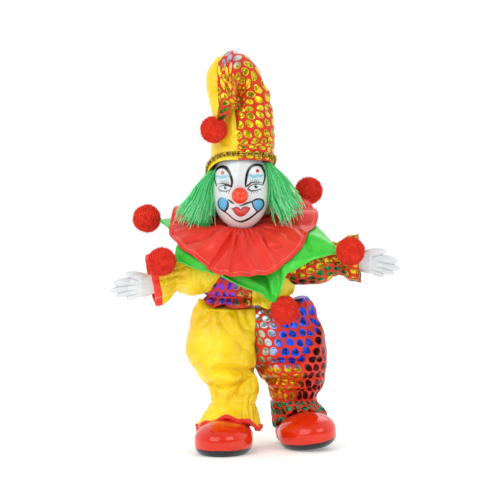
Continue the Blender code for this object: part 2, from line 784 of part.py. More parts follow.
# Inner and outer ends of each ring across the figure and in height, depth of its middle, half
# depth, and how far the seam has turned round the hat in degrees
HAT_RINGS = (
    (-28.1, 225.5, 18.1, 227.5, 3, 21.5, 11),
    (-25.1, 239.7, 17.4, 240.5, 4, 20, 18),
    (-20.5, 248.5, 16.3, 250.0, 5, 17.5, 30),
    (-12.8, 253.4, 14.6, 259.6, 5, 15.5, 50),
    (-10.2, 255.8, 9.4, 270.8, 4, 15, 66),
    (-9.6, 257.8, 2.4, 284.6, 2, 15.5, 82),
    (-9.2, 258.5, -6.4, 291.0, -1, 16, 92),
    (-9.4, 258.7, -15.2, 293.0, -4, 16, 106),
    (-9.9, 258.4, -24.4, 288.3, -7, 15, 135),
    (-10.4, 257.6, -31.0, 278.7, -10, 13.5, 160),
    (-10.8, 256.0, -31.6, 266.2, -12.5, 12, 165),
    (-11.2, 253.4, -29.4, 255.3, -14.5, 10, 162),
    (-14.0, 249.0, -27.9, 249.0, -16, 8, 156),
    (-18.0, 244.6, -26.4, 243.8, -17, 5.5, 152),
    (-20.5, 241.0, -25.8, 240.5, -17.5, 3.5, 150),
)
HAT_POMPOM_PLACE = at(-26.6, -18, 236.2)


def brim_point(azimuth, rise=0.0, reach=1.0):
    radius, height = curve_around(BRIM, azimuth)
    return BRIM_AXIS + heading(azimuth) * radius * reach * UNIT + at(0, 0, height + rise)


def hat_ring_point(row, angle):
    """A point of one of the hat's rings, by an angle from the outside of the bend towards the front."""
    inner_x, inner_z, outer_x, outer_z, depth, half_depth, _ = row
    middle = at((inner_x + outer_x) / 2, depth, (inner_z + outer_z) / 2)
    outward = at((outer_x - inner_x) / 2, 0, (outer_z - inner_z) / 2)
    return middle + outward * math.cos(angle) - at(0, half_depth, 0) * math.sin(angle)


def hat_section(index, angle):
    """A point of the brim, the band above it or a ring of the hat, by angle in degrees."""
    if index == 0:
        return brim_point(90 - angle)
    if index == 1:
        right, left = LOWER_BAND_REACH
        share = (1 + math.cos(math.radians(angle))) / 2
        return brim_point(90 - angle, LOWER_BAND, left + (right - left) * share)
    return hat_ring_point(HAT_RINGS[index - 2], math.radians(angle))


def make_hat(doll, head, pompom, cutters):
    """The stuffed hat in two panels, whose seam turns with the fold of the tip."""
    twists = [BRIM_TWIST, BRIM_TWIST + 2, *(row[-1] for row in HAT_RINGS)]
    steps = 8
    panels = []
    for name, side, material in (("hat_dotted_panel", 1, "foil_dot_cloth"), ("hat_yellow_panel", -1, "yellow_satin")):
        bm = bmesh.new()
        loops = []
        for index, twist in enumerate(twists):
            turns = [twist + 90 - side * 180 * step / steps for step in range(steps + 1)]
            arc = [hat_section(index, turn) for turn in turns]
            chord = arc[-1] - arc[0]
            inward = arc[steps // 2] - (arc[0] + chord / 2)
            inward -= chord.normalized() * inward.dot(chord.normalized())
            shift = inward.normalized() * SEAM_GAP / 2
            arc = [point + shift * max(0.0, 1 - 3 * min(s, steps - s)) for s, point in enumerate(arc)]
            loops.append([bm.verts.new(point) for point in arc])
        for lower, upper in zip(loops, loops[1:]):
            for i in range(steps):
                bm.faces.new((lower[i], lower[i + 1], upper[i + 1], upper[i]))
            bm.faces.new((lower[0], upper[0], upper[-1]))
            bm.faces.new((lower[0], upper[-1], lower[-1]))
        bm.faces.new(loops[0])
        bm.faces.new(loops[-1])
        panel = object_from(bm, name, material, doll)
        panels.append(largest_body(carve(panel, [head, pompom], cutters)))
    return panels


def make_braid(doll, panels):
    """Gold braid round the hat, just above the brim's edge."""
    tree = tree_of(panels)
    around = 30
    loops = []
    for rise, out in ((0, 0), (1, 0), (1, 1), (0, 1)):
        ring = []
        for k in range(around):
            azimuth = 360 * k / around
            height = BRAID_ABOVE_BRIM + rise * BRAID_WIDTH
            point = stood_clear(brim_point(azimuth, height / UNIT, 0.99), tree, TOUCH_GAP * 2)
            ring.append(point + heading(azimuth) * BRAID_THICKNESS * out)
        loops.append(ring)
    return loft("hat_gold_trim", loops, "gold_braid", doll, closed=True)


# Hair, by azimuth round the back of the head: widest, lowest and inner lowest radius and height
HAIR = (
    (76, 33, 184, 41, 170, 30, 166),
    (90, 38, 184, 43, 171, 27, 168),
    (112, 36, 184, 39, 177, 26, 174),
    (135, 32, 185, 34, 179, 24, 176),
    (180, 30, 184, 31, 177, 22, 175),
    (225, 31, 182, 33, 175, 23, 173),
    (250, 34, 180, 39, 169, 25, 168),
    (270, 37, 181, 46, 167, 24, 163),
    (284, 33, 182, 43, 165, 24, 159),
)
HAIR_UNDER_BRIM = 2.0


def make_hair(doll, neighbours, ruff):
    """The wig, from one temple round the back of the head to the other, lying on the ruff."""
    tree, ruff_tree = tree_of(neighbours), tree_of([ruff])
    rings = []
    steps = 12
    for step in range(steps + 1):
        azimuth = HAIR[0][0] + (HAIR[-1][0] - HAIR[0][0]) * step / steps
        wide, wide_z, low, low_z, inner, inner_z = curve_through(HAIR, azimuth)
        out = heading(azimuth)
        top = brim_point(azimuth, -HAIR_UNDER_BRIM, 0.93)
        outline = [
            (top - BRIM_AXIS).dot(out) / UNIT,
            wide * 0.86,
            wide,
            low,
            inner,
            inner * 0.84,
            20.0,
        ]
        heights = [top.z / UNIT, (top.z / UNIT + wide_z) / 2, wide_z, low_z, inner_z, wide_z - 5, top.z / UNIT - 1]
        ring = [BRIM_AXIS + out * radius * UNIT + at(0, 0, height) for radius, height in zip(outline, heights)]
        rings.append(ring)
    bm = joined_rings(bmesh.new(), rings)
    clear_all(bm, lambda point: stood_clear(lifted(point, ruff_tree, HAIR_CLEARANCE), tree, HAIR_CLEARANCE))
    return object_from(bm, "hair", "green_fur", doll)


def stand_on_origin(pieces):
    """Parents the pieces to one empty, and moves it so that the doll stands centred on the origin."""
    bpy.context.view_layer.update()
    points = [vertex.co for piece in pieces for vertex in evaluated_mesh(piece).vertices]
    lowest = Vector(min(point[axis] for point in points) for axis in range(3))
    highest = Vector(max(point[axis] for point in points) for axis in range(3))
    stand = bpy.data.objects.new("doll", None)
    pieces[0].users_collection[0].objects.link(stand)
    for piece in pieces:
        piece.parent = stand
    stand.location = -Vector(((lowest.x + highest.x) / 2, (lowest.y + highest.y) / 2, lowest.z))


def main():
    for left_over in list(bpy.data.objects):
        bpy.data.objects.remove(left_over)
    doll = collection_named("Ceramic clown doll")
    cutters = collection_named("Cutters")

    head = make_head(doll)
    left = make_shoe(doll, "shoe_left", at(-12.5, -10, 0), -16, 0)
    right = make_shoe(doll, "shoe_right", at(35, 14, 0), 20, -RIGHT_SHOE_ROLL)
    hand_left = make_hand(doll, "hand_left", at(-76.5, -8, 121.9), -1, 0)
    hand_right = make_hand(doll, "hand_right", at(84.5, -6, 139.5), 1, 3)

    top, whole_top = make_top(doll, cutters)
    sleeves = []
    for name, shoulder, cuff, material, hand in (
        ("sleeve_yellow", at(-22, -2, 134.6), at(-69.5, -8, 125.3), "yellow_satin", hand_left),
        ("sleeve_dotted", at(22, -2, 137.5), at(81, -6, 140.8), "foil_dot_cloth", hand_right),
    ):
        sleeve = make_sleeve(doll, name, shoulder, cuff, material)
        sleeves.append(largest_body(carve(sleeve, [whole_top, hand], cutters)))
    make_cuff_trim(doll, at(-22, -2, 134.6), at(-69.5, -8, 125.3))
    for name, rows, side, material, lean, (shoe, frame), clearance in (
        ("trouser_leg_yellow", YELLOW_LEG, -1, "yellow_satin", 0, left, BOUND_HEM_CLEARANCE),
        ("trouser_leg_dotted", DOTTED_LEG, 1, "foil_dot_cloth", 0.15, right, SHOE_CLEARANCE),
    ):
        make_leg(doll, name, rows, side, material, lean, shoe, frame, clearance)
    make_hem_trim(doll, left[0])

    pompoms = [
        ball(f"collar_pompom_{i}", at(*place), [POMPOM_RADIUS] * 3, "red_yarn", doll)
        for i, place in enumerate(POMPOM_PLACES, 1)
    ]
    star = make_star(doll, head, [*top, *sleeves])
    ruff = make_ruff(doll, head, [*top, *sleeves, star])

    hat_pompom = ball("hat_pompom", HAT_POMPOM_PLACE, [HAT_POMPOM_RADIUS] * 3, "red_yarn", doll)
    panels = make_hat(doll, head, hat_pompom, cutters)
    braid = make_braid(doll, panels)
    make_hair(doll, [head, *panels, braid], ruff)

    stand_on_origin(list(doll.objects))


main()
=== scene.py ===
# %% [markdown]
# # A ceramic clown doll
# The doll stands 30 cm tall. Its head, hands and shoes are glazed ceramic castings, and between
# them is a costume of satin and foil-dot cloth, stuffed with fibre. This lesson dresses the packed
# solids: the castings become smooth and get their paint, the cloth is blown up and wrinkled by a
# cloth simulation, and hair, pompoms, stitches and braid grow from Geometry Nodes.

# %% Load the solids
import math

import bmesh
import bpy
import numpy as np
from mathutils import Matrix, Vector, noise
from mathutils.bvhtree import BVHTree


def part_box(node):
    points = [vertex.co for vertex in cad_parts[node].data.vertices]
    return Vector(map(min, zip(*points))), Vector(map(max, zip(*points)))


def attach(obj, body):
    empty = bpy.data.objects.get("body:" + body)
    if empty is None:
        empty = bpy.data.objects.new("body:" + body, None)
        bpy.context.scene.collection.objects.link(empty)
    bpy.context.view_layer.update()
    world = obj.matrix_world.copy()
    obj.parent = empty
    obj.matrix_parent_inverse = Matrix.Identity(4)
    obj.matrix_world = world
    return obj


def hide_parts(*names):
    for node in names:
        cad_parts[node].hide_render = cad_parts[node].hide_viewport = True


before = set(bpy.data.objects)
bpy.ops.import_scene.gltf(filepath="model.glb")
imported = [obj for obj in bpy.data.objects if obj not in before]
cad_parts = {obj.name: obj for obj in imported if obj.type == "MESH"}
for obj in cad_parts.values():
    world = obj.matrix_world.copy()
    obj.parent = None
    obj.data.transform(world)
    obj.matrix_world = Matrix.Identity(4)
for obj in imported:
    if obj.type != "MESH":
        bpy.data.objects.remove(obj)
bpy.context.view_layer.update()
scene = bpy.context.scene

# %% [markdown]
# ## One unit for the whole doll
# The doll's tables count in units, with x across from the middle of the view, y behind the face and z above
# the floor. A unit is close to a millimetre. The first collar pompom says where the origin is.

# %% Units and places
UNIT = 0.300 / 293.6
POMPOM_PLACES = (
    (25.1, -37, 105.4),
    (73.2, -33, 148.0),
    (44.3, 55, 186.2),
    (-24.0, 76, 167.9),
    (-76.9, 22, 167.8),
    (-64.3, -30, 140.2),
)
low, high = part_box("collar_pompom_1")
ORIGIN = (low + high) / 2 - Vector(POMPOM_PLACES[0]) * UNIT


def at(x, y, z):
    """A place on the doll, from units to metres."""
    return ORIGIN + Vector((x, y, z)) * UNIT


def units_of(places):
    """Places in metres, as rows of an array, counted in units from the origin of the tables."""
    return (places - np.array(ORIGIN)) / UNIT


def heading(azimuth):
    """The level direction at an azimuth in degrees, from the front towards +X."""
    return Vector((math.sin(math.radians(azimuth)), -math.cos(math.radians(azimuth)), 0))


print("origin of the tables is at", tuple(round(v, 5) for v in ORIGIN))

# %% [markdown]
# ## Camera, light and floor
# The doll was seen from a little above, through a long lens, in front of white. A wide soft key
# light hangs high up in front on the left, a smaller pane on the right gives the glaze a second
# square highlight, and a faint one behind lifts the edges.


# %% Camera
def in_scene(name, data):
    """A new object in the scene, at the origin."""
    made = bpy.data.objects.new(name, data)
    scene.collection.objects.link(made)
    return made


CAMERA_DISTANCE = 2.4
CAMERA_ELEVATION = math.radians(5)
VIEW_HEIGHT = 369.5  # units from the top of the view to its foot
aim = at(0, 0, 146.2)
camera_data = bpy.data.cameras.new("camera")
camera_data.sensor_width = 36
camera_data.lens = 36 * CAMERA_DISTANCE / (VIEW_HEIGHT * UNIT)
camera = in_scene("camera", camera_data)
camera.location = aim + Vector((0, -math.cos(CAMERA_ELEVATION), math.sin(CAMERA_ELEVATION))) * CAMERA_DISTANCE
camera.rotation_euler = (math.pi / 2 - CAMERA_ELEVATION, 0, 0)
scene.camera = camera
print("lens of", round(camera_data.lens, 1), "mm")


# %% Light
LAMP_AIM = Vector((0, 0, 0.15))


def area_light(name, place, size, power):
    """A square lamp that faces the middle of the doll."""
    data = bpy.data.lights.new(name, "AREA")
    data.shape = "SQUARE"
    data.size = size
    data.energy = power
    lamp = in_scene(name, data)
    lamp.location = place
    lamp.rotation_euler = (LAMP_AIM - lamp.location).to_track_quat("-Z", "Y").to_euler()


area_light("key_light", (-0.85, -1.35, 1.1), 1.5, 16)
area_light("right_window", (1.1, -1.0, 1.1), 0.9, 6.5)
area_light("back_light", (0.3, 1.2, 1.2), 0.9, 3)
scene.view_settings.view_transform = "Standard"

# %% [markdown]
# ## How the finishes are made
# Each finish is a small tree of nodes that ends in one shader. Its colours are written as the hex
# values that a paint chart gives, and one function turns them to linear light. Another adds a node
# of any kind, for the finishes and for the Geometry Nodes further down.


# %% Helpers for finishes
def linear(hex_colour):
    """An sRGB hex colour as linear red, green, blue and alpha."""
    values = [int(hex_colour[i : i + 2], 16) / 255 for i in (1, 3, 5)]
    return [v / 12.92 if v <= 0.04045 else ((v + 0.055) / 1.055) ** 2.4 for v in values] + [1.0]


def paint_of(hex_colour):
    """The same without alpha, as an array to mix with."""
    return np.array(linear(hex_colour)[:3])


def feed(receiver, *values, **named):
    """Feeds a node's inputs, the first ones in their order and others by name or by _number.

    Each takes a plain value, an output of another node, or a node, which stands for its first output."""
    keys = [int(name[1:]) if name[0] == "_" else name.replace("_", " ") for name in named]
    for key, value in [*enumerate(values), *zip(keys, named.values())]:
        if isinstance(value, bpy.types.Node):
            value = value.outputs[0]
        if isinstance(value, bpy.types.NodeSocket):
            receiver.id_data.links.new(value, receiver.inputs[key])
        else:
            receiver.inputs[key].default_value = value


def node(tree, kind, *values, stops=(), **details):
    """Adds a node. Details in lower case are its settings, and stops are its colour ramp's."""
    made = tree.nodes.new(kind)
    for name, value in details.items():
        if name[0].islower():
            setattr(made, name, value)
    for number, (place, colour) in enumerate(stops):
        elements = made.color_ramp.elements
        stop = elements[number] if number < len(elements) else elements.new(place)
        stop.position = place
        stop.color = linear(colour)
    feed(made, *values, **{name: value for name, value in details.items() if not name[0].islower()})
    return made


def new_finish(name, **plain_values):
    """A material with plain values on its shader. Gives the material, its tree and its shader."""
    material = bpy.data.materials.new(name)
    material.use_nodes = True
    shader = material.node_tree.nodes["Principled BSDF"]
    feed(shader, **plain_values)
    return material, material.node_tree, shader


# %% The room
# White behind the doll and grey in front of it, so that the glaze reflects a darker room
world = bpy.data.worlds.new("studio")
world.use_nodes = True
tree = world.node_tree
direction = node(tree, "ShaderNodeTexCoord").outputs["Generated"]
backwards = node(tree, "ShaderNodeSeparateXYZ", direction).outputs["Y"]
share = node(tree, "ShaderNodeMath", backwards, 0.5, 0.5, operation="MULTIPLY_ADD")
greys = ((0.0, "#8C8C8C"), (0.45, "#D8D8D8"), (0.62, "#FFFFFF"))
feed(tree.nodes["Background"], Color=node(tree, "ShaderNodeValToRGB", share, stops=greys), Strength=1.0)
scene.world = world

# %% Floor
# The paper is lit from below too, so that it has no grey edge far behind the doll
FLOOR_GLOW = 0.22
floor_paint, tree, shader = new_finish("white_backdrop_paper", Roughness=0.9,
    Emission_Color=linear("#FFFFFF"), Emission_Strength=FLOOR_GLOW)
where = node(tree, "ShaderNodeTexCoord").outputs["Object"]
paper_grain = node(tree, "ShaderNodeTexNoise", where, Scale=900.0)
feed(shader, node(tree, "ShaderNodeValToRGB", paper_grain, stops=((0.2, "#F6F6F4"), (0.8, "#FCFCFB"))))
bpy.ops.mesh.primitive_circle_add(vertices=96, radius=1.6, fill_type="NGON", location=(0, 0, 0))
floor = bpy.context.object
floor.name = "floor"
floor.data.materials.append(floor_paint)

# %% [markdown]
# ## Helpers for pieces
# A piece is one mesh at the origin, with its place in its points. `finished` gives it its material,
# rides it on the doll's one body, and lets it stand for the solids it replaces.


# %% Helpers for pieces
def finished(piece, material, stands_for):
    """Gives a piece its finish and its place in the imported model."""
    piece.data.materials.clear()
    piece.data.materials.append(material)
    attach(piece, "root")
    if stands_for:
        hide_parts(*stands_for)
    print(piece.name, "has", len(piece.data.polygons), "faces")


def object_from(bm, name):
    mesh = bpy.data.meshes.new(name)
    bm.to_mesh(mesh)
    bm.free()
    mesh.shade_smooth()
    return in_scene(name, mesh)


def settled(piece):
    """Turns an object with its modifiers into a plain mesh."""
    graph = bpy.context.evaluated_depsgraph_get()
    mesh = bpy.data.meshes.new_from_object(piece.evaluated_get(graph))
    piece.modifiers.clear()
    piece.data = mesh
    return piece


def rounded(piece):
    """Rounds a piece by one subdivision."""
    rounder = piece.modifiers.new("rounder", "SUBSURF")
    rounder.levels = rounder.render_levels = 1
    settled(piece)
    piece.data.shade_smooth()
    return piece


def add_grid(bm, rings):
    """Joins rings of points, each with as many points, into a skin. Its ends meet in middle points."""
    loops = [[bm.verts.new(point) for point in ring] for ring in rings]
    around = len(rings[0])
    for lower, upper in zip(loops, loops[1:]):
        for i in range(around):
            j = (i + 1) % around
            bm.faces.new((lower[i], lower[j], upper[j], upper[i]))
    for loop, turn in ((loops[0], -1), (loops[-1], 1)):
        middle = bm.verts.new(sum((v.co for v in loop), Vector()) / around)
        for i in range(around):
            corners = (loop[i], loop[(i + 1) % around], middle)
            bm.faces.new(corners[::turn])


def smoothstep(low, high, value):
    share = np.clip((value - low) / (high - low), 0, 1)
    return share * share * (3 - 2 * share)


def add_values(piece, name, values):
    """Stores one number for each point of a mesh."""
    attribute = piece.data.attributes.new(name, "FLOAT", "POINT")
    attribute.data.foreach_set("value", np.asarray(values, np.float32))


def add_colours(piece, name, colours):
    """Stores a linear colour for each point of a mesh."""
    attribute = piece.data.color_attributes.new(name, "FLOAT_COLOR", "POINT")
    rgba = np.ones((len(colours), 4), np.float32)
    rgba[:, :3] = colours
    attribute.data.foreach_set("color", rgba.ravel())


def surface_of(piece):
    """A piece's surface, to find what lies below or beside a point."""
    return BVHTree.FromObject(piece, bpy.context.evaluated_depsgraph_get())


def points_of(piece):
    places = np.empty(len(piece.data.vertices) * 3)
    piece.data.vertices.foreach_get("co", places)
    return places.reshape(-1, 3)


# %% [markdown]
# ## White glaze
# The head and the hands are cast in white clay and dipped in a clear glaze, which is smooth glass.
# It shows sharp reflections over a very faint orange-peel surface, and a cooler tone where it pools.

# %% White glaze
painted_glaze, tree, shader = new_finish("painted_white_glaze", Roughness=0.16, IOR=1.5, Coat_Weight=0.3,
    Coat_Roughness=0.05)
where = node(tree, "ShaderNodeTexCoord").outputs["Object"]
# The points carry the face paint, the painted highlights of the face and the painted shade in the grooves of
# the hands
paint_and_painted_light = node(tree, "ShaderNodeAttribute", attribute_name="Paint")
pools = node(tree, "ShaderNodeTexNoise", where, Scale=60.0)
pooling = node(tree, "ShaderNodeValToRGB", pools, stops=((0.3, "#F3F5F6"), (0.7, "#FFFFFF")))
colour = node(tree, "ShaderNodeMix", 1.0, _6=paint_and_painted_light, _7=pooling, data_type="RGBA", blend_type="MULTIPLY")
orange_peel = node(tree, "ShaderNodeTexNoise", where, Scale=350.0)
relief = node(tree, "ShaderNodeBump", Height=orange_peel, Distance=0.00004)
feed(shader, colour.outputs[2], Normal=relief)

# %% [markdown]
# ## Head
# The real head is slip-cast: an egg with shallow eyes and cheeks, and a neck that the costume is
# tied to. A grid of points on a rounded egg makes it, finest in front, where the painted lines need
# four points to the millimetre.

# %% Head
HEAD_CENTRE = at(-6.7, 0, 191)
HEAD_HALF = Vector((21.3, 22.5, 30.8)) * UNIT
HEAD_FULLNESS = 2.3  # 2 is an ellipsoid
CHIN_NARROWING = 0.35
FACE_FLATNESS = 0.10
NOSE_PLACE = at(-7.4, -24.5, 188.2)
NOSE_RADIUS = 0.0062
FACE_RELIEF = (  # across and up from the middle, width, height as shares of the head's depth
    (0.45, 0.10, 0.22, -0.045),  # eye
    (0.52, -0.36, 0.24, 0.035),  # cheek
    (0.0, -0.50, 0.20, 0.035),  # lips
    (0.0, -0.88, 0.22, 0.05),  # chin
)


def head_points(azimuths, heights):
    """Points on the glaze for a grid of azimuths and elevations in radians."""
    azimuth, elevation = np.meshgrid(azimuths, heights)
    across = np.sin(azimuth) * np.cos(elevation)
    depth = -np.cos(azimuth) * np.cos(elevation)
    up = np.sin(elevation)
    reach = (np.cos(elevation) ** HEAD_FULLNESS + np.abs(up) ** HEAD_FULLNESS) ** (-1 / HEAD_FULLNESS)
    across, depth, up = across * reach, depth * reach, up * reach
    narrow = 1 - CHIN_NARROWING * np.maximum(0, -up) ** 3.5
    front = np.maximum(0, -depth)
    full = 1 - FACE_FLATNESS * front**2
    for side, height, width, swell in FACE_RELIEF:
        full += swell * front * np.exp(-((np.abs(across) - side) ** 2 + (up - height) ** 2) / width**2)
    shape = np.stack([across * narrow, depth * narrow * full, up], axis=-1)
    return shape * np.array(HEAD_HALF) + np.array(HEAD_CENTRE)


front_columns = np.radians(np.linspace(-82, 82, 290))
back_columns = np.radians(np.linspace(82, 278, 42))[1:-1]
rows = np.radians(np.linspace(-89.5, 89.5, 260))
grid = head_points(np.concatenate([front_columns, back_columns]), rows)
bm = bmesh.new()
add_grid(bm, [[Vector(point) for point in row] for row in grid])
neck_rings = []
for height, radius in ((152, 8.7), (152.6, 9.0), (166, 9.0), (172, 10.5), (176, 12)):
    neck_rings.append([at(-6.7, 3.5, height) + heading(a) * radius * UNIT for a in range(0, 360, 10)])
add_grid(bm, neck_rings)
bmesh.ops.recalc_face_normals(bm, faces=bm.faces)
head = object_from(bm, "glazed_head")

# %% [markdown]
# ### Face paint
# A traditional clown's make-up is painted on the glaze with a fine brush. Each stroke is a smooth
# line through a few places, with its own width at each, and each filled shape is an outline. Their
# places are counted in steps of 0.0385 mm across and up from the tip of the nose. Every point of the
# face takes the colour of the last layer that covers it. Two layers are painted highlights: a white
# dot on each iris and a paler line along the lips.

# %% Brush and layers
PAINT_STEP = 0.0385e-3
PAINT_EDGE = 5.0  # softness of a painted edge, in steps
WHITE = "#E4E8E9"
BLACK = "#16181C"
CAMERA_UNITS = 2400.0
VIEW_CENTRE_UNITS = 372.0


def shown_height(units):
    """How high points, given in units, show in the view from the front."""
    return units[..., 2] + units[..., 1] * (VIEW_CENTRE_UNITS - units[..., 2]) / CAMERA_UNITS


def flat_view(places):
    """Where points of the face show from the front, in steps across and up from the nose."""
    units, nose = units_of(places), units_of(np.array(NOSE_PLACE))
    across = units[:, 0] - nose[0]
    up = shown_height(units) - shown_height(nose)
    return np.stack([across, up], axis=1) * UNIT / PAINT_STEP


def smooth_line(places, steps=10):
    """Points on a smooth curve through places, with whatever else each place carries."""
    p = np.asarray(places, float)
    p = np.concatenate([[2 * p[0] - p[1]], p, [2 * p[-1] - p[-2]]])
    curve = []
    for a, b, c, d in zip(p, p[1:], p[2:], p[3:]):
        for t in np.linspace(0, 1, steps, endpoint=False):
            curve.append(0.5 * (2 * b + (c - a) * t + (2 * a - 5 * b + 4 * c - d) * t**2
                + (3 * b - a - 3 * c + d) * t**3))
    curve.append(p[-2])
    return np.array(curve)


def stroke(view, places):
    """How far inside a brush stroke each point is. A place is across, up and half the width."""
    curve = smooth_line(places)
    best = np.full(len(view), -1e9)
    for x, y, half in curve:
        best = np.maximum(best, half - np.hypot(view[:, 0] - x, view[:, 1] - y))
    return best


def filled(view, outline):
    """How far inside a closed smooth outline each point is."""
    curve = smooth_line(list(outline) + [outline[0]], 6)
    x, y = view[:, 0], view[:, 1]
    inside = np.zeros(len(view), bool)
    nearest = np.full(len(view), 1e9)
    for (x0, y0), (x1, y1) in zip(curve, curve[1:]):
        crosses = (y0 > y) != (y1 > y)
        with np.errstate(divide="ignore", invalid="ignore"):
            inside ^= crosses & (x < (x1 - x0) * (y - y0) / (y1 - y0) + x0)
        length = max((x1 - x0) ** 2 + (y1 - y0) ** 2, 1e-9)
        t = np.clip(((x - x0) * (x1 - x0) + (y - y0) * (y1 - y0)) / length, 0, 1)
        nearest = np.minimum(nearest, np.hypot(x - x0 - t * (x1 - x0), y - y0 - t * (y1 - y0)))
    return np.where(inside, nearest, -nearest)


def spot(view, x, y, radius):
    return radius - np.hypot(view[:, 0] - x, view[:, 1] - y)


# %% The make-up, layer by layer
LEFT_CHEEK = ((-393, -82), (-343, -50), (-283, -62), (-251, -132), (-258, -222), (-298, -287), (-353, -262),
    (-403, -202), (-413, -132))
RIGHT_CHEEK = ((262, -152), (287, -102), (347, -82), (417, -87), (447, -142), (432, -212), (367, -292),
    (342, -292), (287, -232), (267, -182))
LEFT_EYE = ((-418, 148), (-373, 188), (-313, 206), (-243, 198), (-165, 148), (-223, 103), (-293, 88),
    (-363, 98))
RIGHT_EYE = ((157, 138), (207, 193), (287, 228), (367, 228), (437, 163), (357, 118), (297, 103), (217, 98))
LIPS = ((-143, -260), (-98, -237), (-43, -232), (17, -274), (67, -232), (127, -224), (187, -252),
    (147, -322), (77, -382), (12, -400), (-53, -377), (-108, -317))
SHADOW_BANDS = (
    (((-468, 388, 20), (-398, 370, 24), (-333, 368, 26), (-263, 383, 24), (-203, 388, 18)), "#8CCBDA"),
    (((157, 388, 20), (207, 403, 24), (247, 378, 26), (297, 378, 26), (342, 398, 24), (387, 388, 24),
        (437, 403, 20)), "#7CC4D6"),
)
SOFT_WASHES = (
    (((-448, 335, 34), (-333, 322, 44), (-223, 335, 34)), "#CDE5E8"),
    (((187, 350, 34), (297, 335, 44), (417, 352, 34)), "#C8E2E8"),
)
BRUSH_LOAD = 1.3  # how much wider a line dries than it was drawn
BLACK_STROKES = (
    ((-448, 188, 7), (-478, 268, 9), (-495, 358, 11), (-488, 448, 13), (-453, 518, 17), (-393, 558, 22),
        (-333, 566, 27), (-273, 546, 29), (-223, 486, 24), (-188, 416, 20), (-163, 336, 20),
        (-153, 256, 18), (-163, 188, 14)),
    ((109, 178, 9), (115, 268, 18), (125, 358, 20), (142, 438, 20), (172, 508, 22), (217, 568, 24),
        (277, 598, 22), (342, 606, 20), (407, 588, 24), (452, 528, 22), (482, 448, 16), (487, 358, 14),
        (469, 278, 13), (447, 213, 9)),
    ((-438, 232, 4), (-373, 236, 6), (-303, 228, 9), (-243, 213, 12), (-193, 193, 15), (-165, 176, 14)),
    ((-418, 158, 5), (-373, 188, 6), (-303, 200, 7), (-243, 198, 8), (-188, 176, 9)),
    ((-418, 140, 6), (-363, 98, 7), (-293, 86, 7), (-223, 101, 6), (-168, 138, 5)),
    ((137, 188, 14), (177, 218, 14), (217, 248, 10), (287, 263, 8), (357, 263, 7), (442, 253, 4)),
    ((157, 145, 8), (207, 193, 8), (287, 228, 8), (367, 228, 8), (442, 208, 5)),
    ((157, 133, 10), (217, 98, 11), (297, 103, 8), (357, 118, 6), (417, 138, 4)),
    ((-358, -32, 6), (-408, -82, 8), (-428, -152, 9), (-408, -222, 10), (-363, -272, 10), (-313, -302, 14)),
    ((-248, -102, 8), (-231, -162, 17), (-243, -232, 19), (-273, -282, 14), (-303, -310, 10)),
    ((-238, -77, 5), (-203, -97, 12), (-163, -127, 16), (-118, -157, 8)),
    ((-3, -202, 6), (57, -184, 13), (137, -147, 16), (237, -117, 14), (257, -102, 12), (317, -72, 14),
        (387, -67, 14), (442, -92, 15), (465, -147, 12), (452, -212, 12), (407, -272, 12), (347, -317, 14)),
    ((242, -132, 12), (252, -182, 12), (282, -242, 12), (322, -292, 10), (347, -315, 12)),
    ((-313, -302, 12), (-223, -372, 10), (-123, -457, 10), (-53, -497, 11), (17, -510, 14), (77, -497, 16),
        (157, -462, 16), (247, -402, 14), (347, -317, 14)),
)
LASHES = ((-343, 236, -373, 278), (-308, 230, -343, 288), (-275, 223, -308, 293), (-243, 213, -271, 298),
    (-213, 203, -233, 288), (187, 228, 212, 298), (227, 253, 252, 318), (272, 263, 302, 323),
    (312, 266, 337, 313), (352, 266, 377, 298), (-248, 88, -271, 46), (-203, 98, -231, 26),
    (-373, 98, -413, 83), (207, 98, 229, 43), (242, 93, 287, 28), (287, 98, 332, 48), (317, 108, 357, 73),
    (357, 123, 417, 108))

places = points_of(head)
view = flat_view(places)
facing = places[:, 1] < HEAD_CENTRE[1] - 0.3 * HEAD_HALF[1]
colours = np.tile(paint_of(WHITE), (len(places), 1))


def cover(depth, hex_colour, opacity=1.0, edge=PAINT_EDGE):
    """Paints over what is there, where a depth into a shape is above zero."""
    share = (smoothstep(-edge, edge, depth) * opacity * facing)[:, None]
    colours[:] = colours * (1 - share) + paint_of(hex_colour) * share


for places_of_band, colour in SOFT_WASHES:
    cover(stroke(view, places_of_band), colour, 0.8, 22)
for places_of_band, colour in SHADOW_BANDS:
    cover(stroke(view, places_of_band), colour, 0.9, 12)
cover(spot(view, 0, 0, 165), "#F3B9AC", 0.5, 12)
for outline in (LEFT_EYE, RIGHT_EYE):
    cover(filled(view, outline), "#E3ECF0")
for x, y, radius in ((-285, 156, 30), (315, 180, 38)):
    cover(spot(view, x, y, radius), "#5C7F98")
    cover(spot(view, x, y - 2, radius * 0.62), BLACK)
    # Painted highlight: a white dot high on each iris
    cover(spot(view, x + radius * 0.45, y + radius * 0.42, radius * 0.3), "#FFFFFF")
cover(spot(view, -336, 450, 35), "#E85A36")
cover(spot(view, -334, 448, 14), "#F2A588")
cover(spot(view, 342, 486, 34), "#B8231F")
for outline in (LEFT_CHEEK, RIGHT_CHEEK):
    cover(filled(view, outline) + 10, "#5BB0E4")
cover(filled(view, LIPS) + 12, "#5E1410")
cover(filled(view, LIPS) - 2, "#D62B1E")
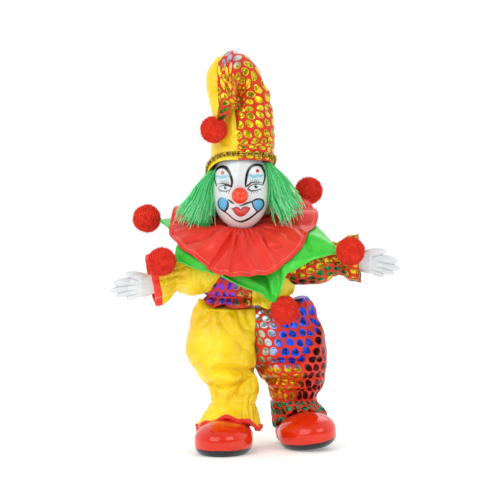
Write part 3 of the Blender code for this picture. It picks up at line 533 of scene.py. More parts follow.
# Painted highlight: a paler line along the middle of the lips
cover(stroke(view, ((-73, -272, 5), (-23, -300, 7), (12, -318, 8), (62, -296, 7), (117, -262, 5))),
    "#F0806A", 0.8)
cover(stroke(view, ((-188, -240, 3), (-153, -258, 6), (-123, -268, 7))), "#4A1512")
cover(stroke(view, ((222, -232, 3), (192, -252, 6), (162, -268, 7))), "#4A1512")
for line in BLACK_STROKES:
    cover(stroke(view, [(x, y, half * BRUSH_LOAD) for x, y, half in line]), BLACK)
for x0, y0, x1, y1 in LASHES:
    cover(stroke(view, ((x0, y0, 8), (x1, y1, 4))), BLACK, 0.95)
cover(stroke(view, ((-238, 208, 6), (-188, 190, 8))), "#7A1A22", 0.8)
cover(stroke(view, ((147, 200, 6), (187, 222, 8))), "#7A1A22", 0.8)
add_colours(head, "Paint", colours)
finished(head, painted_glaze, ["head"])

# %% [markdown]
# ## Nose
# The nose is part of the casting, a ball that was dipped in orange-red glaze. It is made on its own
# here, so that its colour ends in a clean edge where the ball meets the face.

# %% Nose
nose_glaze, tree, shader = new_finish("orange_red_nose_glaze", Roughness=0.14, IOR=1.5, Coat_Weight=0.3,
    Coat_Roughness=0.04)
where = node(tree, "ShaderNodeTexCoord").outputs["Object"]
thickness = node(tree, "ShaderNodeTexNoise", where, Scale=90.0, Detail=3.0)
colour = node(tree, "ShaderNodeValToRGB", thickness, stops=((0.3, "#E33212"), (0.7, "#F2461C")))
orange_peel = node(tree, "ShaderNodeTexNoise", where, Scale=260.0)
feed(shader, colour, Normal=node(tree, "ShaderNodeBump", Height=orange_peel, Distance=0.00005))
bm = bmesh.new()
bmesh.ops.create_uvsphere(bm, u_segments=48, v_segments=32, radius=NOSE_RADIUS)
bmesh.ops.translate(bm, vec=NOSE_PLACE, verts=bm.verts)
nose = object_from(bm, "glazed_nose")
finished(nose, nose_glaze, [])

# %% [markdown]
# ## Hands
# Each hand is one casting: a flat palm, a thumb in front and four fingers close together, with
# shallow grooves between them, where the glaze is painted grey as shade. Balls and bars are joined
# by a voxel remesh, which melts them into one skin, and a smoothing pass softens it as thick glaze does.

# %% Hands
FINGERS = {  # base, tip, radius
    "thumb": ((2, -2.5, 6), (12.6, -3.5, 7.4), 2.9),
    "index": ((8, 0, 2.4), (21.5, -1, 0.6), 3.3),
    "middle": ((9, 0, -2), (24.3, -0.5, -5), 2.8),
    "ring": ((8, 0, -5.5), (20.3, 0, -8.8), 2.3),
    "little": ((5, 0, -7.8), (13.4, 0, -11.2), 1.95),
}
PALM_CENTRE = (4, 0, -1)
PALM_HALF = (11.5, 4.7, 9.2)
WRIST_END = 16
WRIST_RADIUS = 0.0072
HAND_VOXEL = 0.00042
GROOVE_WIDTH = 0.0005


def add_ball(bm, centre, half, turn):
    made = bmesh.ops.create_uvsphere(bm, u_segments=32, v_segments=20, radius=1)["verts"]
    bmesh.ops.scale(bm, vec=half, verts=made)
    bmesh.ops.transform(bm, matrix=turn.to_4x4(), verts=made)
    bmesh.ops.translate(bm, vec=centre, verts=made)


def add_bar(bm, start, end, radius):
    turn = Vector((0, 0, 1)).rotation_difference(end - start).to_matrix().to_4x4()
    place = Matrix.Translation((start + end) / 2) @ turn
    length = (end - start).length
    bmesh.ops.create_cone(bm, cap_ends=True, segments=32, radius1=radius, radius2=radius, depth=length,
        matrix=place)


def melted(piece, voxel, rounds):
    """One smooth skin over overlapping shapes."""
    remesh = piece.modifiers.new("one skin", "REMESH")
    remesh.mode = "VOXEL"
    remesh.voxel_size = voxel
    smooth = piece.modifiers.new("glaze", "SMOOTH")
    smooth.factor = 0.5
    smooth.iterations = rounds
    settled(piece)
    piece.data.shade_smooth()
    return piece


def make_hand(name, wrist, points_to, droop):
    flip = Matrix.Scale(-1, 3, (1, 0, 0)) if points_to < 0 else Matrix.Identity(3)
    turn = Matrix.Rotation(math.radians(droop) * points_to, 3, "Y")

    def placed(point):
        return wrist + turn @ flip @ (Vector(point) * UNIT)

    bm = bmesh.new()
    add_ball(bm, placed(PALM_CENTRE), Vector(PALM_HALF) * UNIT, turn)
    add_bar(bm, placed((-WRIST_END, 0, 0)), placed((4, 0, -0.5)), WRIST_RADIUS)
    bones = {}
    for finger, (base, tip, radius) in FINGERS.items():
        base, tip = placed(base), placed(tip)
        bones[finger] = (np.array(base), np.array(tip), radius * UNIT)
        lie = Vector((0, 0, 1)).rotation_difference(tip - base).to_matrix()
        half = (radius * UNIT, radius * UNIT, (tip - base).length / 2 + radius * UNIT)
        add_ball(bm, (base + tip) / 2, half, lie)
    hand = melted(object_from(bm, name), HAND_VOXEL, 5)
    skin = points_of(hand)
    nearness = []
    for base, tip, radius in bones.values():
        along = np.clip((skin - base) @ (tip - base) / ((tip - base) @ (tip - base)), 0, 1)
        nearness.append(np.linalg.norm(skin - base - along[:, None] * (tip - base), axis=1) - radius)
    nearness = np.sort(np.array(nearness), axis=0)
    # Painted shade: the glaze turns grey in the grooves between the fingers, where shade falls
    groove_shade = np.exp(-((nearness[1] - nearness[0]) / GROOVE_WIDTH) ** 2) * smoothstep(0.0022, 0.0006,
        nearness[0])
    white, groove_shade_grey = paint_of("#DFE3E5"), paint_of("#8E979E")
    add_colours(hand, "Paint", white + (groove_shade_grey - white) * groove_shade[:, None] * 0.75)
    return hand


hand_left = make_hand("glazed_hand_left", at(-76.5, -8, 121.9), -1, 0)
hand_right = make_hand("glazed_hand_right", at(84.5, -6, 139.5), 1, 3)
finished(hand_left, painted_glaze, ["hand_left"])
finished(hand_right, painted_glaze, ["hand_right"])

# %% [markdown]
# ## Shoes
# A shoe is a bulb for the toes, a lower one for the heel and a shaft that the trouser leg is tied
# round, cast as one and glazed red. The sole was then painted black with a brush, to a line about
# 5 mm up. The height above the sole is stored on the points, so that the line stays sharp.

# %% Shoes
TOE_CENTRE = (0, -25, 10.8)
TOE_HALF = (21.0, 26, 13.4)
HEEL_CENTRE = (0, 3, 8.5)
HEEL_HALF = (14.0, 16, 11)
ANKLE_RADIUS = 0.0095
SHAFT_TOP = 38
SHAFT_BOTTOM = 6
SQUARENESS = 3.2
SHOE_VOXEL = 0.0006
SOLE_BAND = 0.0052
RIGHT_SHOE_ROLL = math.radians(9)


def add_bulb(bm, centre, half):
    """An ellipsoid whose lower half is squarer."""
    made = bmesh.ops.create_uvsphere(bm, u_segments=96, v_segments=64, radius=1)["verts"]
    for vertex in made:
        x, y, z = vertex.co
        level = math.hypot(x, y)
        if z < 0 and level > 1e-6:
            broad = max(1 - abs(z) ** SQUARENESS, 0) ** (1 / SQUARENESS)
            x, y = x / level * broad, y / level * broad
        vertex.co = Vector((centre[0] + half[0] * x, centre[1] + half[1] * y, centre[2] + half[2] * z)) * UNIT


def make_shoe(name, ankle, yaw, roll):
    bm = bmesh.new()
    add_bulb(bm, TOE_CENTRE, TOE_HALF)
    add_bulb(bm, HEEL_CENTRE, HEEL_HALF)
    add_bar(bm, Vector((0, 0, SHAFT_BOTTOM)) * UNIT, Vector((0, 0, SHAFT_TOP)) * UNIT, ANKLE_RADIUS)
    shoe = melted(object_from(bm, name), SHOE_VOXEL, 8)
    bm = bmesh.new()
    bm.from_mesh(shoe.data)
    geometry = [*bm.verts, *bm.edges, *bm.faces]
    bmesh.ops.bisect_plane(bm, geom=geometry, plane_co=(0, 0, 0), plane_no=(0, 0, -1), clear_outer=True)
    bmesh.ops.holes_fill(bm, edges=[edge for edge in bm.edges if edge.is_boundary], sides=0)
    bmesh.ops.recalc_face_normals(bm, faces=bm.faces)
    heights = [vertex.co.z for vertex in bm.verts]
    turn = Matrix.Rotation(math.radians(yaw), 4, "Z") @ Matrix.Rotation(roll, 4, "Y")
    bmesh.ops.transform(bm, matrix=turn, verts=bm.verts)
    drop = min(vertex.co.z for vertex in bm.verts)
    bmesh.ops.translate(bm, vec=ankle - Vector((0, 0, drop)), verts=bm.verts)
    bm.to_mesh(shoe.data)
    bm.free()
    add_values(shoe, "Height", heights)
    return shoe


# %% Red glaze over a black sole
shoe_glaze, tree, shader = new_finish("red_glaze_over_black_sole", Roughness=0.1, IOR=1.45, Coat_Weight=0.15,
    Coat_Roughness=0.04)
where = node(tree, "ShaderNodeTexCoord").outputs["Object"]
height = node(tree, "ShaderNodeAttribute", attribute_name="Height").outputs["Fac"]
unsteady = node(tree, "ShaderNodeTexNoise", where, Scale=70.0)
brush = node(tree, "ShaderNodeMath", unsteady, 0.0012, operation="MULTIPLY")
edge = node(tree, "ShaderNodeMath", height, brush, operation="ADD")
above = node(tree, "ShaderNodeMapRange", edge, SOLE_BAND + 0.0004, SOLE_BAND + 0.0007)
thickness = node(tree, "ShaderNodeTexNoise", where, Scale=45.0, Detail=3.0)
red = node(tree, "ShaderNodeValToRGB", thickness, stops=((0.3, "#D8240A"), (0.7, "#E8340F")))
scuffs = node(tree, "ShaderNodeTexNoise", where, Scale=300.0, Detail=3.0)
black = node(tree, "ShaderNodeValToRGB", scuffs, stops=((0.3, "#101214"), (0.7, "#22262A")))
colour = node(tree, "ShaderNodeMix", above, _6=black, _7=red, data_type="RGBA")
orange_peel = node(tree, "ShaderNodeTexNoise", where, Scale=220.0)
relief = node(tree, "ShaderNodeBump", Height=orange_peel, Distance=0.00005)
feed(shader, colour.outputs[2], Normal=relief)

shoe_left = make_shoe("glazed_shoe_left", at(-12.5, -10, 0), -16, 0)
shoe_right = make_shoe("glazed_shoe_right", at(35, 14, 0), 20, -RIGHT_SHOE_ROLL)
finished(shoe_left, shoe_glaze, ["shoe_left"])
finished(shoe_right, shoe_glaze, ["shoe_right"])

# %% [markdown]
# ## Satin
# The plain panels are polyester satin. Its long floats lie side by side, so that it shines softly
# along its folds, and each thread is only a tenth of a millimetre. The ribs here are drawn nine
# times as coarse, or they wouldn't show, and run with the cloth's own map in metres.

# %% Satin finish
RIB_SCALE = 500.0  # a diagonal wave of this scale has a rib each 0.9 mm


def satin(name, deep, bright):
    """Satin in one colour, from its deep tone to its bright one."""
    material, tree, shader = new_finish(name, Roughness=0.30, Sheen_Weight=0.08, Sheen_Roughness=0.4,
        IOR=1.5, Specular_IOR_Level=0.42)
    where = node(tree, "ShaderNodeTexCoord").outputs["Object"]
    tone = node(tree, "ShaderNodeTexNoise", where, Scale=45.0, Detail=3.0)
    colour = node(tree, "ShaderNodeValToRGB", tone, stops=((0.3, deep), (0.7, bright)))
    cloth = node(tree, "ShaderNodeUVMap", uv_map="Cloth")
    ribs = node(tree, "ShaderNodeTexWave", cloth, Scale=RIB_SCALE, Distortion=1.5, Detail=1.0,
        bands_direction="DIAGONAL").outputs["Fac"]
    fine = node(tree, "ShaderNodeBump", Height=ribs, Distance=0.00003, Strength=0.5)
    creases = node(tree, "ShaderNodeTexNoise", where, Scale=130.0, Detail=4.0, Roughness=0.55)
    relief = node(tree, "ShaderNodeBump", Height=creases, Distance=0.0009, Strength=0.16, Normal=fine)
    feed(shader, colour, Normal=relief)
    return material


yellow_satin = satin("yellow_polyester_satin", "#EBBE00", "#FBE324")
red_satin = satin("coral_red_polyester_satin", "#DC2418", "#F23C2A")
green_satin = satin("lime_green_polyester_satin", "#2EC42C", "#52E048")

# %% [markdown]
# ## Foil-dot cloth
# The patterned panels are red cloth with dots of metal foil pressed on, about 6 mm long and shaped like
# pebbles, in staggered rows 7 mm apart. Foil is a metal, so it takes its look from what it reflects.
# The film is iridescent: gold, silver, blue or green by how the cloth lies. That colour is stored
# on the points by region, because a finish may not look at where the camera is.

# %% Foil-dot finish
DOT_PITCH = 0.0077
DOT_LENGTH = 0.0062
ROW_SHARE = 0.9  # how far rows are apart, as a share of the pitch
dotted_cloth, tree, shader = new_finish("red_cloth_with_foil_dots", IOR=1.5, Specular_IOR_Level=0.3)
where = node(tree, "ShaderNodeTexCoord").outputs["Object"]
cloth = node(tree, "ShaderNodeUVMap", uv_map="Cloth")
parts = node(tree, "ShaderNodeSeparateXYZ", cloth)

# Rows and columns of cells, with every other row half a cell further
row = node(tree, "ShaderNodeMath", parts.outputs["Y"], DOT_PITCH * ROW_SHARE, operation="DIVIDE")
row_number = node(tree, "ShaderNodeMath", row, operation="FLOOR")
odd_row = node(tree, "ShaderNodeMath", row_number, 2.0, operation="FLOORED_MODULO")
stagger = node(tree, "ShaderNodeMath", odd_row, 0.5, operation="MULTIPLY")
place = node(tree, "ShaderNodeMath", parts, DOT_PITCH, operation="DIVIDE")
column = node(tree, "ShaderNodeMath", place, stagger, operation="ADD")
column_number = node(tree, "ShaderNodeMath", column, operation="FLOOR")
cell = node(tree, "ShaderNodeCombineXYZ", column_number, row_number)
chance = node(tree, "ShaderNodeTexWhiteNoise", cell, noise_dimensions="2D").outputs["Color"]
odds = node(tree, "ShaderNodeSeparateColor", chance).outputs

# Where a point is in its cell, from the middle of a dot that is nudged, leant and narrowed
in_column = node(tree, "ShaderNodeMath", column, operation="FRACT")
nudge = node(tree, "ShaderNodeMath", odds[0], 0.22, -0.61, operation="MULTIPLY_ADD")
x = node(tree, "ShaderNodeMath", in_column, nudge, operation="ADD")
in_row = node(tree, "ShaderNodeMath", row, operation="FRACT")
drop = node(tree, "ShaderNodeMath", odds[1], 0.20, -0.60, operation="MULTIPLY_ADD")
dropped = node(tree, "ShaderNodeMath", in_row, drop, operation="ADD")
y = node(tree, "ShaderNodeMath", dropped, ROW_SHARE, operation="MULTIPLY")
lean = node(tree, "ShaderNodeMath", odds[2], 0.5, -0.25, operation="MULTIPLY_ADD")
leant = node(tree, "ShaderNodeMath", y, lean, operation="MULTIPLY")
turned_x = node(tree, "ShaderNodeMath", x, leant, operation="SUBTRACT")
narrowing = node(tree, "ShaderNodeMath", y, 0.45, 1.05, operation="MULTIPLY_ADD")
narrow_x = node(tree, "ShaderNodeMath", turned_x, narrowing, operation="MULTIPLY")
from_middle = node(tree, "ShaderNodeCombineXYZ", narrow_x, y)
distance = node(tree, "ShaderNodeVectorMath", from_middle, operation="LENGTH").outputs["Value"]
shake = node(tree, "ShaderNodeTexNoise", where, Scale=500.0)
wobble = node(tree, "ShaderNodeMath", shake, 0.08, -0.04, operation="MULTIPLY_ADD")
distance = node(tree, "ShaderNodeMath", distance, wobble, operation="ADD")

# The foil, with a painted mottle of highlight and shade over its middle, and the darker ground round it
radius = 0.5 * DOT_LENGTH / DOT_PITCH
dot = node(tree, "ShaderNodeMapRange", distance, radius, radius - 0.03)
fill = node(tree, "ShaderNodeMapRange", distance, radius - 0.05, radius - 0.09)
halo = node(tree, "ShaderNodeMapRange", distance, radius + 0.07, radius + 0.01)
dye = node(tree, "ShaderNodeTexNoise", where, Scale=90.0, Detail=3.0)
ground = node(tree, "ShaderNodeValToRGB", dye, stops=((0.3, "#CE260C"), (0.7, "#E63612")))
shaded = node(tree, "ShaderNodeMix", halo, _6=ground, _7=linear("#A81C0E"), data_type="RGBA")
foil = node(tree, "ShaderNodeAttribute", attribute_name="Foil")
# Painted highlight and shade on the foil: white in places, darker in others
foil_glint_noise = node(tree, "ShaderNodeTexNoise", where, Scale=230.0, Roughness=0.6)
painted_foil_glints = node(tree, "ShaderNodeValToRGB", foil_glint_noise, stops=((0.44, "#9C9C9C"), (0.54, "#FFFFFF")))
glinting_foil = node(tree, "ShaderNodeMix", fill, _6=foil, _7=painted_foil_glints, data_type="RGBA", blend_type="MULTIPLY")
colour = node(tree, "ShaderNodeMix", dot, _6=shaded.outputs[2], _7=glinting_foil.outputs[2], data_type="RGBA")
metal = node(tree, "ShaderNodeMath", dot, 0.85, operation="MULTIPLY")
roughness = node(tree, "ShaderNodeMath", dot, -0.14, 0.42, operation="MULTIPLY_ADD")
ribs = node(tree, "ShaderNodeTexWave", cloth, Scale=450.0, Distortion=1.0).outputs["Fac"]
fine = node(tree, "ShaderNodeBump", Height=ribs, Distance=0.00004, Strength=0.5)
creases = node(tree, "ShaderNodeTexNoise", where, Scale=150.0, Detail=4.0)
relief = node(tree, "ShaderNodeBump", Height=creases, Distance=0.0010, Strength=0.4, Normal=fine)
feed(shader, colour.outputs[2], Metallic=metal, Roughness=roughness, Normal=relief)


# %% Colours by region
def blend_of(weights_and_colours):
    """Mixes hex colours by weights that are given for each point."""
    total = sum(weight for weight, _ in weights_and_colours) + 1e-6
    mixed = sum(weight[:, None] * paint_of(colour) for weight, colour in weights_and_colours)
    return mixed / total[:, None]


def in_units(piece):
    """The points of a piece in units, with how high each shows in the view from the front."""
    units = units_of(points_of(piece))
    return units, shown_height(units)


# %% [markdown]
# ## How the costume is made
# Each stuffed piece is a skin of rings round a table of sizes, with small pleats where a thread
# gathers it. Then Blender's Cloth does what stuffing does: pressure swells the skin while its threads
# are a little too long for it, so that it buckles into folds. Rings under a thread stay pinned. Only
# the folds are kept of that move, and the table keeps the shape.

# %% Curves through tables
def curve_through(rows, share):
    """Values at a share of a table's first column, on a smooth curve through its rows."""
    rows = np.asarray(rows, float)
    keys, values = rows[:, 0], rows[:, 1:]
    slopes = np.gradient(values, keys, axis=0)
    i = int(np.clip(np.searchsorted(keys, share) - 1, 0, len(keys) - 2))
    width = keys[i + 1] - keys[i]
    t = min(max((share - keys[i]) / width, 0.0), 1.0)
    from_start = (2 * t**3 - 3 * t**2 + 1) * values[i] + (t**3 - 2 * t**2 + t) * width * slopes[i]
    from_end = (3 * t**2 - 2 * t**3) * values[i + 1] + (t**3 - t**2) * width * slopes[i + 1]
    return from_start + from_end


def curve_around(rows, angle):
    """The same for a table whose first column is an angle in degrees, and which closes on itself."""
    rows = np.asarray(rows, float)
    before, after = rows[-2:].copy(), rows[:2].copy()
    before[:, 0] -= 360
    after[:, 0] += 360
    return curve_through(np.vstack([before, rows, after]), rows[0, 0] + (angle - rows[0, 0]) % 360)


def gathers(angles, count, seed):
    """Puffs between stitches: round crests and sharp valleys, of uneven width, from -1 to 1."""
    uneven = angles + 0.16 * np.sin(2 * angles + seed) + 0.09 * np.sin(3 * angles + 2.3 * seed)
    return 2 * np.abs(np.sin(count * uneven / 2 + seed)) ** 0.8 - 1


# %% Skins
def distances_along(rings):
    """How far each ring lies from the first, along the cloth."""
    steps = np.linalg.norm(np.diff(rings, axis=0), axis=2).mean(axis=1)
    return np.concatenate([[0], np.cumsum(steps)])


def skin(name, rings, first_cap=True, last_cap=True):
    """A skin over rings of points, with its own map in metres along and around the cloth."""
    rings = np.asarray(rings, float)
    count, around = rings.shape[:2]
    along = distances_along(rings)
    girth = np.linalg.norm(rings - np.roll(rings, 1, axis=1), axis=2).sum(axis=1).max()
    points = [tuple(point) for point in rings.reshape(-1, 3)]
    faces, uvs = [], []
    for i in range(count - 1):
        for k in range(around):
            j = (k + 1) % around
            faces.append((i * around + k, i * around + j, (i + 1) * around + j, (i + 1) * around + k))
            u0, u1 = girth * k / around, girth * (k + 1) / around
            uvs += [(u0, along[i]), (u1, along[i]), (u1, along[i + 1]), (u0, along[i + 1])]
    for wanted, i, turn in ((first_cap, 0, -1), (last_cap, count - 1, 1)):
        if wanted:
            points.append(tuple(rings[i].mean(axis=0)))
            for k in range(around):
                face = (i * around + k, i * around + (k + 1) % around, len(points) - 1)
                faces.append(face[::turn])
                corners = [(girth * k / around, along[i]), (girth * (k + 1) / around, along[i]),
                    (girth * (k + 0.5) / around, along[i])]
                uvs += corners[::turn]
    mesh = bpy.data.meshes.new(name)
    mesh.from_pydata(points, [], faces)
    layer = mesh.uv_layers.new(name="Cloth")
    layer.data.foreach_set("uv", np.array(uvs, np.float32).ravel())
    mesh.shade_smooth()
    return in_scene(name, mesh)


def face_outwards(piece):
    bm = bmesh.new()
    bm.from_mesh(piece.data)
    bmesh.ops.recalc_face_normals(bm, faces=bm.faces)
    if bm.calc_volume(signed=True) < 0:
        bmesh.ops.reverse_faces(bm, faces=bm.faces)
    bm.to_mesh(piece.data)
    bm.free()


# %% Stuffing by cloth simulation
CLOTH_SCALE = 10  # Cloth is steadier on a skin that is metres wide
FOLD_LIMIT = 0.0032
STUFFING_PRESSURE = 1.5
CLOTH_FRAMES = 14
KEPT_SWELL = 0.15  # share of the smooth swelling that stays under the folds


def stuffed(piece, hold, growth=0.12):
    """Blows up a skin whose cloth is too long by a share, and keeps the folds that form.

    hold gives each point's grip from 0, free, to 1, pinned."""
    face_outwards(piece)
    hold = np.clip(hold, 0, 1)
    base = points_of(piece)
    piece.data.vertices.foreach_set("co", (base * CLOTH_SCALE).ravel())
    pins = piece.vertex_groups.new(name="pinned")
    for step in range(1, 11):
        members = np.nonzero(np.round(hold * 10) == step)[0]
        if len(members):
            pins.add([int(i) for i in members], step / 10, "REPLACE")
    cloth = piece.modifiers.new("stuffing", "CLOTH")
    cloth.settings.quality = 6
    cloth.settings.mass = 0.3
    cloth.settings.tension_stiffness = 40
    cloth.settings.compression_stiffness = 40
    cloth.settings.shear_stiffness = 12
    cloth.settings.bending_stiffness = 0.3
    cloth.settings.vertex_group_mass = "pinned"
    cloth.settings.pin_stiffness = 1
    cloth.settings.shrink_min = -growth
    cloth.settings.use_pressure = True
    cloth.settings.uniform_pressure_force = STUFFING_PRESSURE
    cloth.settings.effector_weights.gravity = 0
    cloth.collision_settings.use_collision = False
    cloth.point_cache.frame_start = 1
    cloth.point_cache.frame_end = CLOTH_FRAMES
    for step in range(1, CLOTH_FRAMES + 1):
        scene.frame_set(step)
    settled(piece)
    scene.frame_set(1)
    moved = points_of(piece) / CLOTH_SCALE - base
    swell = smoothed(piece, moved, 40)
    folds = moved - (1 - KEPT_SWELL) * swell
    length = np.linalg.norm(folds, axis=1, keepdims=True)
    folds *= FOLD_LIMIT * np.tanh(length / FOLD_LIMIT) / np.maximum(length, 1e-9)
    piece.data.vertices.foreach_set("co", (base + folds).ravel())
    piece.vertex_groups.clear()
    print(piece.name, "has folds up to", round(float(length.max()) * 1000, 2), "mm")
    return rounded(piece)


def smoothed(piece, values, rounds):
    """Values on the points of a mesh, averaged with those of their neighbours."""
    ends = np.empty(len(piece.data.edges) * 2, int)
    piece.data.edges.foreach_get("vertices", ends)
    a, b = ends[::2], ends[1::2]
    count = np.bincount(ends, minlength=len(values))[:, None]
    for _ in range(rounds):
        total = np.zeros_like(values)
        np.add.at(total, a, values[b])
        np.add.at(total, b, values[a])
        values = 0.5 * values + 0.5 * total / count
    return values


# %% [markdown]
# ## Long folds
# Besides its small puckers, stuffed cloth has a few long folds that gravity and the sewing set. The
# ones that show are drawn as strokes across the front view, in units, each with its depth, where a
# valley is negative. The rest of the cloth gets soft folds from stretched noise.

# %% Long folds
SKIN_FOLD_STRENGTH = 1.6  # all drawn folds of stuffed cloth are made so many times as deep


def drawn_folds(move, units, folds, strength, towards_front, steps):
    """Adds folds, drawn as strokes in the view from the front, to how far each point moves."""
    shown = shown_height(units)
    for places, depth in folds:
        nearest = np.full(move.shape, 1e9)
        for x, up, half in smooth_line(places, steps):
            nearest = np.minimum(nearest, np.hypot(units[..., 0] - x, shown - up) / half)
        move += strength * depth * np.exp(-(nearest**2)) * towards_front
    return move


def push_out(rings, folds, billow, seed):
    """Moves rings of points away from each ring's middle, by drawn folds and by soft noise."""
    points = rings.reshape(-1, 3)
    units = units_of(points)
    middles = np.repeat(rings.mean(axis=1), rings.shape[1], axis=0)
    out = points - middles
    out /= np.maximum(np.linalg.norm(out, axis=1, keepdims=True), 1e-9)
    towards_front = smoothstep(-0.1, 0.35, -out[:, 1])
    move = drawn_folds(np.zeros(len(points)), units, folds, SKIN_FOLD_STRENGTH, towards_front, 12)
    for i, (x, y, z) in enumerate(units):
        soft = noise.noise(Vector((x * 0.09 + seed, y * 0.09, z * 0.035 + seed)))
        fine = noise.noise(Vector((x * 0.2 + 5 * seed, y * 0.2, z * 0.09)))
        move[i] += billow * (1.6 * soft + 0.7 * (1 - 2 * abs(fine)) - 0.3)
    return (points + out * (move * UNIT)[:, None]).reshape(rings.shape)


# %% [markdown]
# ## Trouser legs
# Each leg is cut wide, stuffed, and tied round the ankle shaft. Below the thread its hem flares
# into a ruffle over the shoe, and the yellow one is bound in red. The legs press flat on each
# other in the middle. The skin turns in at the hem, so that the ruffle's inside shows from below.

# %% Legs
RUFFLE_WAVE = 1.3
LEG_TOP = 104.4
YELLOW_LEG = (  # height, the middle's place across and behind, half width, half depth
    (16.2, -15.5, -11, 22.4, 21.0),
    (19.7, -15.0, -10, 21.0, 20.0),
    (25.6, -14.0, -9, 19.0, 18.0),
    (32.6, -12.5, -8, 16.4, 15.5),
    (37.1, -12.0, -7, 16.6, 16.0),
    (43.6, -12.0, -6, 18.6, 18.5),
    (51.6, -14.2, -4, 21.6, 21.5),
    (61.6, -17.5, -3, 24.6, 23.5),
    (73.6, -19.0, -2, 27.6, 25.0),
    (84.6, -17.4, -1, 28.4, 24.4),
    (94.0, -14.5, 0, 28.0, 22.5),
    (98.5, -13.3, 0, 27.4, 21.3),
    (LEG_TOP, -12.5, 0, 25.0, 18.5),
)
DOTTED_LEG = (
    (16.0, 37.0, 13, 18.8, 19.5),
    (20.0, 36.5, 12.5, 19.2, 19.5),
    (25.6, 34.7, 12, 18.8, 18.5),
    (32.1, 32.5, 11, 17.3, 16.5),
    (36.6, 32.3, 10, 17.5, 17.0),
    (43.6, 33.0, 8, 19.7, 19.5),
    (52.6, 31.7, 5, 23.5, 22.5),
    (63.6, 28.5, 3, 27.8, 24.5),
    (75.6, 27.0, 2, 28.8, 25.0),
    (86.0, 25.1, 1, 28.3, 24.3),
    (95.0, 21.5, 0, 27.2, 22.5),
    (99.0, 20.0, 0, 26.6, 21.3),
    (LEG_TOP, 18.5, 0, 23.8, 18.5),
)
YELLOW_FOLDS = (
    (((-25.6, 57.5, 3), (-16.9, 58.4, 3), (-6.4, 56.2, 3), (2.3, 56.5, 3), (6.7, 58.6, 2.5)), -2.4),
    (((-24, 63, 4), (-14, 64, 4), (-3, 62, 4)), 1.2),
    (((-24, 53.4, 2.6), (-14.3, 50.2, 2.8), (-6.4, 52, 2.4)), 1.5),
    (((-29, 46.4, 2), (-18, 44.0, 2), (-7.4, 47.5, 2), (0.6, 52.4, 1.8)), -1.7),
    (((-46.5, 71.7, 5), (-38.7, 63.8, 5), (-28.2, 53.4, 4)), 1.2),
    (((-31.5, 98, 3.4), (-30.4, 84, 4.2), (-27.3, 70.8, 4)), -1.5),
    (((-24, 104, 1.8), (-21, 94, 3.2), (-14, 82, 4.4), (-8, 76, 4)), -1.0),
    (((-17, 104, 1.8), (-15, 96, 3), (-9, 88, 3.6)), 0.9),
    (((-10, 104, 1.6), (-7, 95, 2.6), (-3, 87, 3)), -1.0),
    (((-3, 104, 1.4), (-2, 96, 2.2)), -0.9),
    (((-37, 90, 5), (-37, 80, 5)), 1.0),
    (((-4.2, 51, 1.5), (-7.5, 45, 1.6), (-9.9, 38, 1.6)), -1.8),
    (((-25, 44, 2), (-24, 38, 1.6)), -1.2),
    (((-17.5, 43, 2), (-16.5, 37, 1.6)), 1.3),
)
DOTTED_FOLDS = (
    (((5.8, 58.6, 2), (14.5, 63, 2), (26.7, 63.8, 2.2), (36.3, 63, 2.2), (41, 66, 2)), -2.4),
    (((9, 64, 3), (18, 68, 3.4), (30, 69, 3.4)), 1.0),
    (((46, 100, 2.4), (45, 86, 2.6), (41.5, 72, 2.6), (37.5, 64, 2.2)), -2.2),
    (((51, 92, 3), (50, 80, 3), (47, 69, 3)), 1.2),
    (((7.5, 51, 1.6), (22.3, 49.2, 1.8), (35.4, 46.5, 1.6)), -1.6),
    (((12, 55.5, 2), (24, 55, 2.2), (36, 53, 2)), 1.1),
    (((18, 42.2, 1.5), (35.4, 40.4, 1.6), (48.5, 43.9, 1.4)), -1.7),
    (((38.9, 49.5, 1.5), (46, 52, 1.6), (53.5, 54.4, 1.5)), -1.4),
    (((20, 45.6, 1.6), (30, 44.2, 1.6), (44, 46.4, 1.6)), 1.1),
)
HIP_LIFT = 8  # how far the cloth bulges up beside the top
LEG_SEAM = 4.0
CROTCH = 56
LEG_SPREAD = 0.25
HEM_LIFT = 10
HEM_WAVES = 8
ANKLE_THREAD = 34
LEG_AROUND = 120
LEG_ROWS = 84


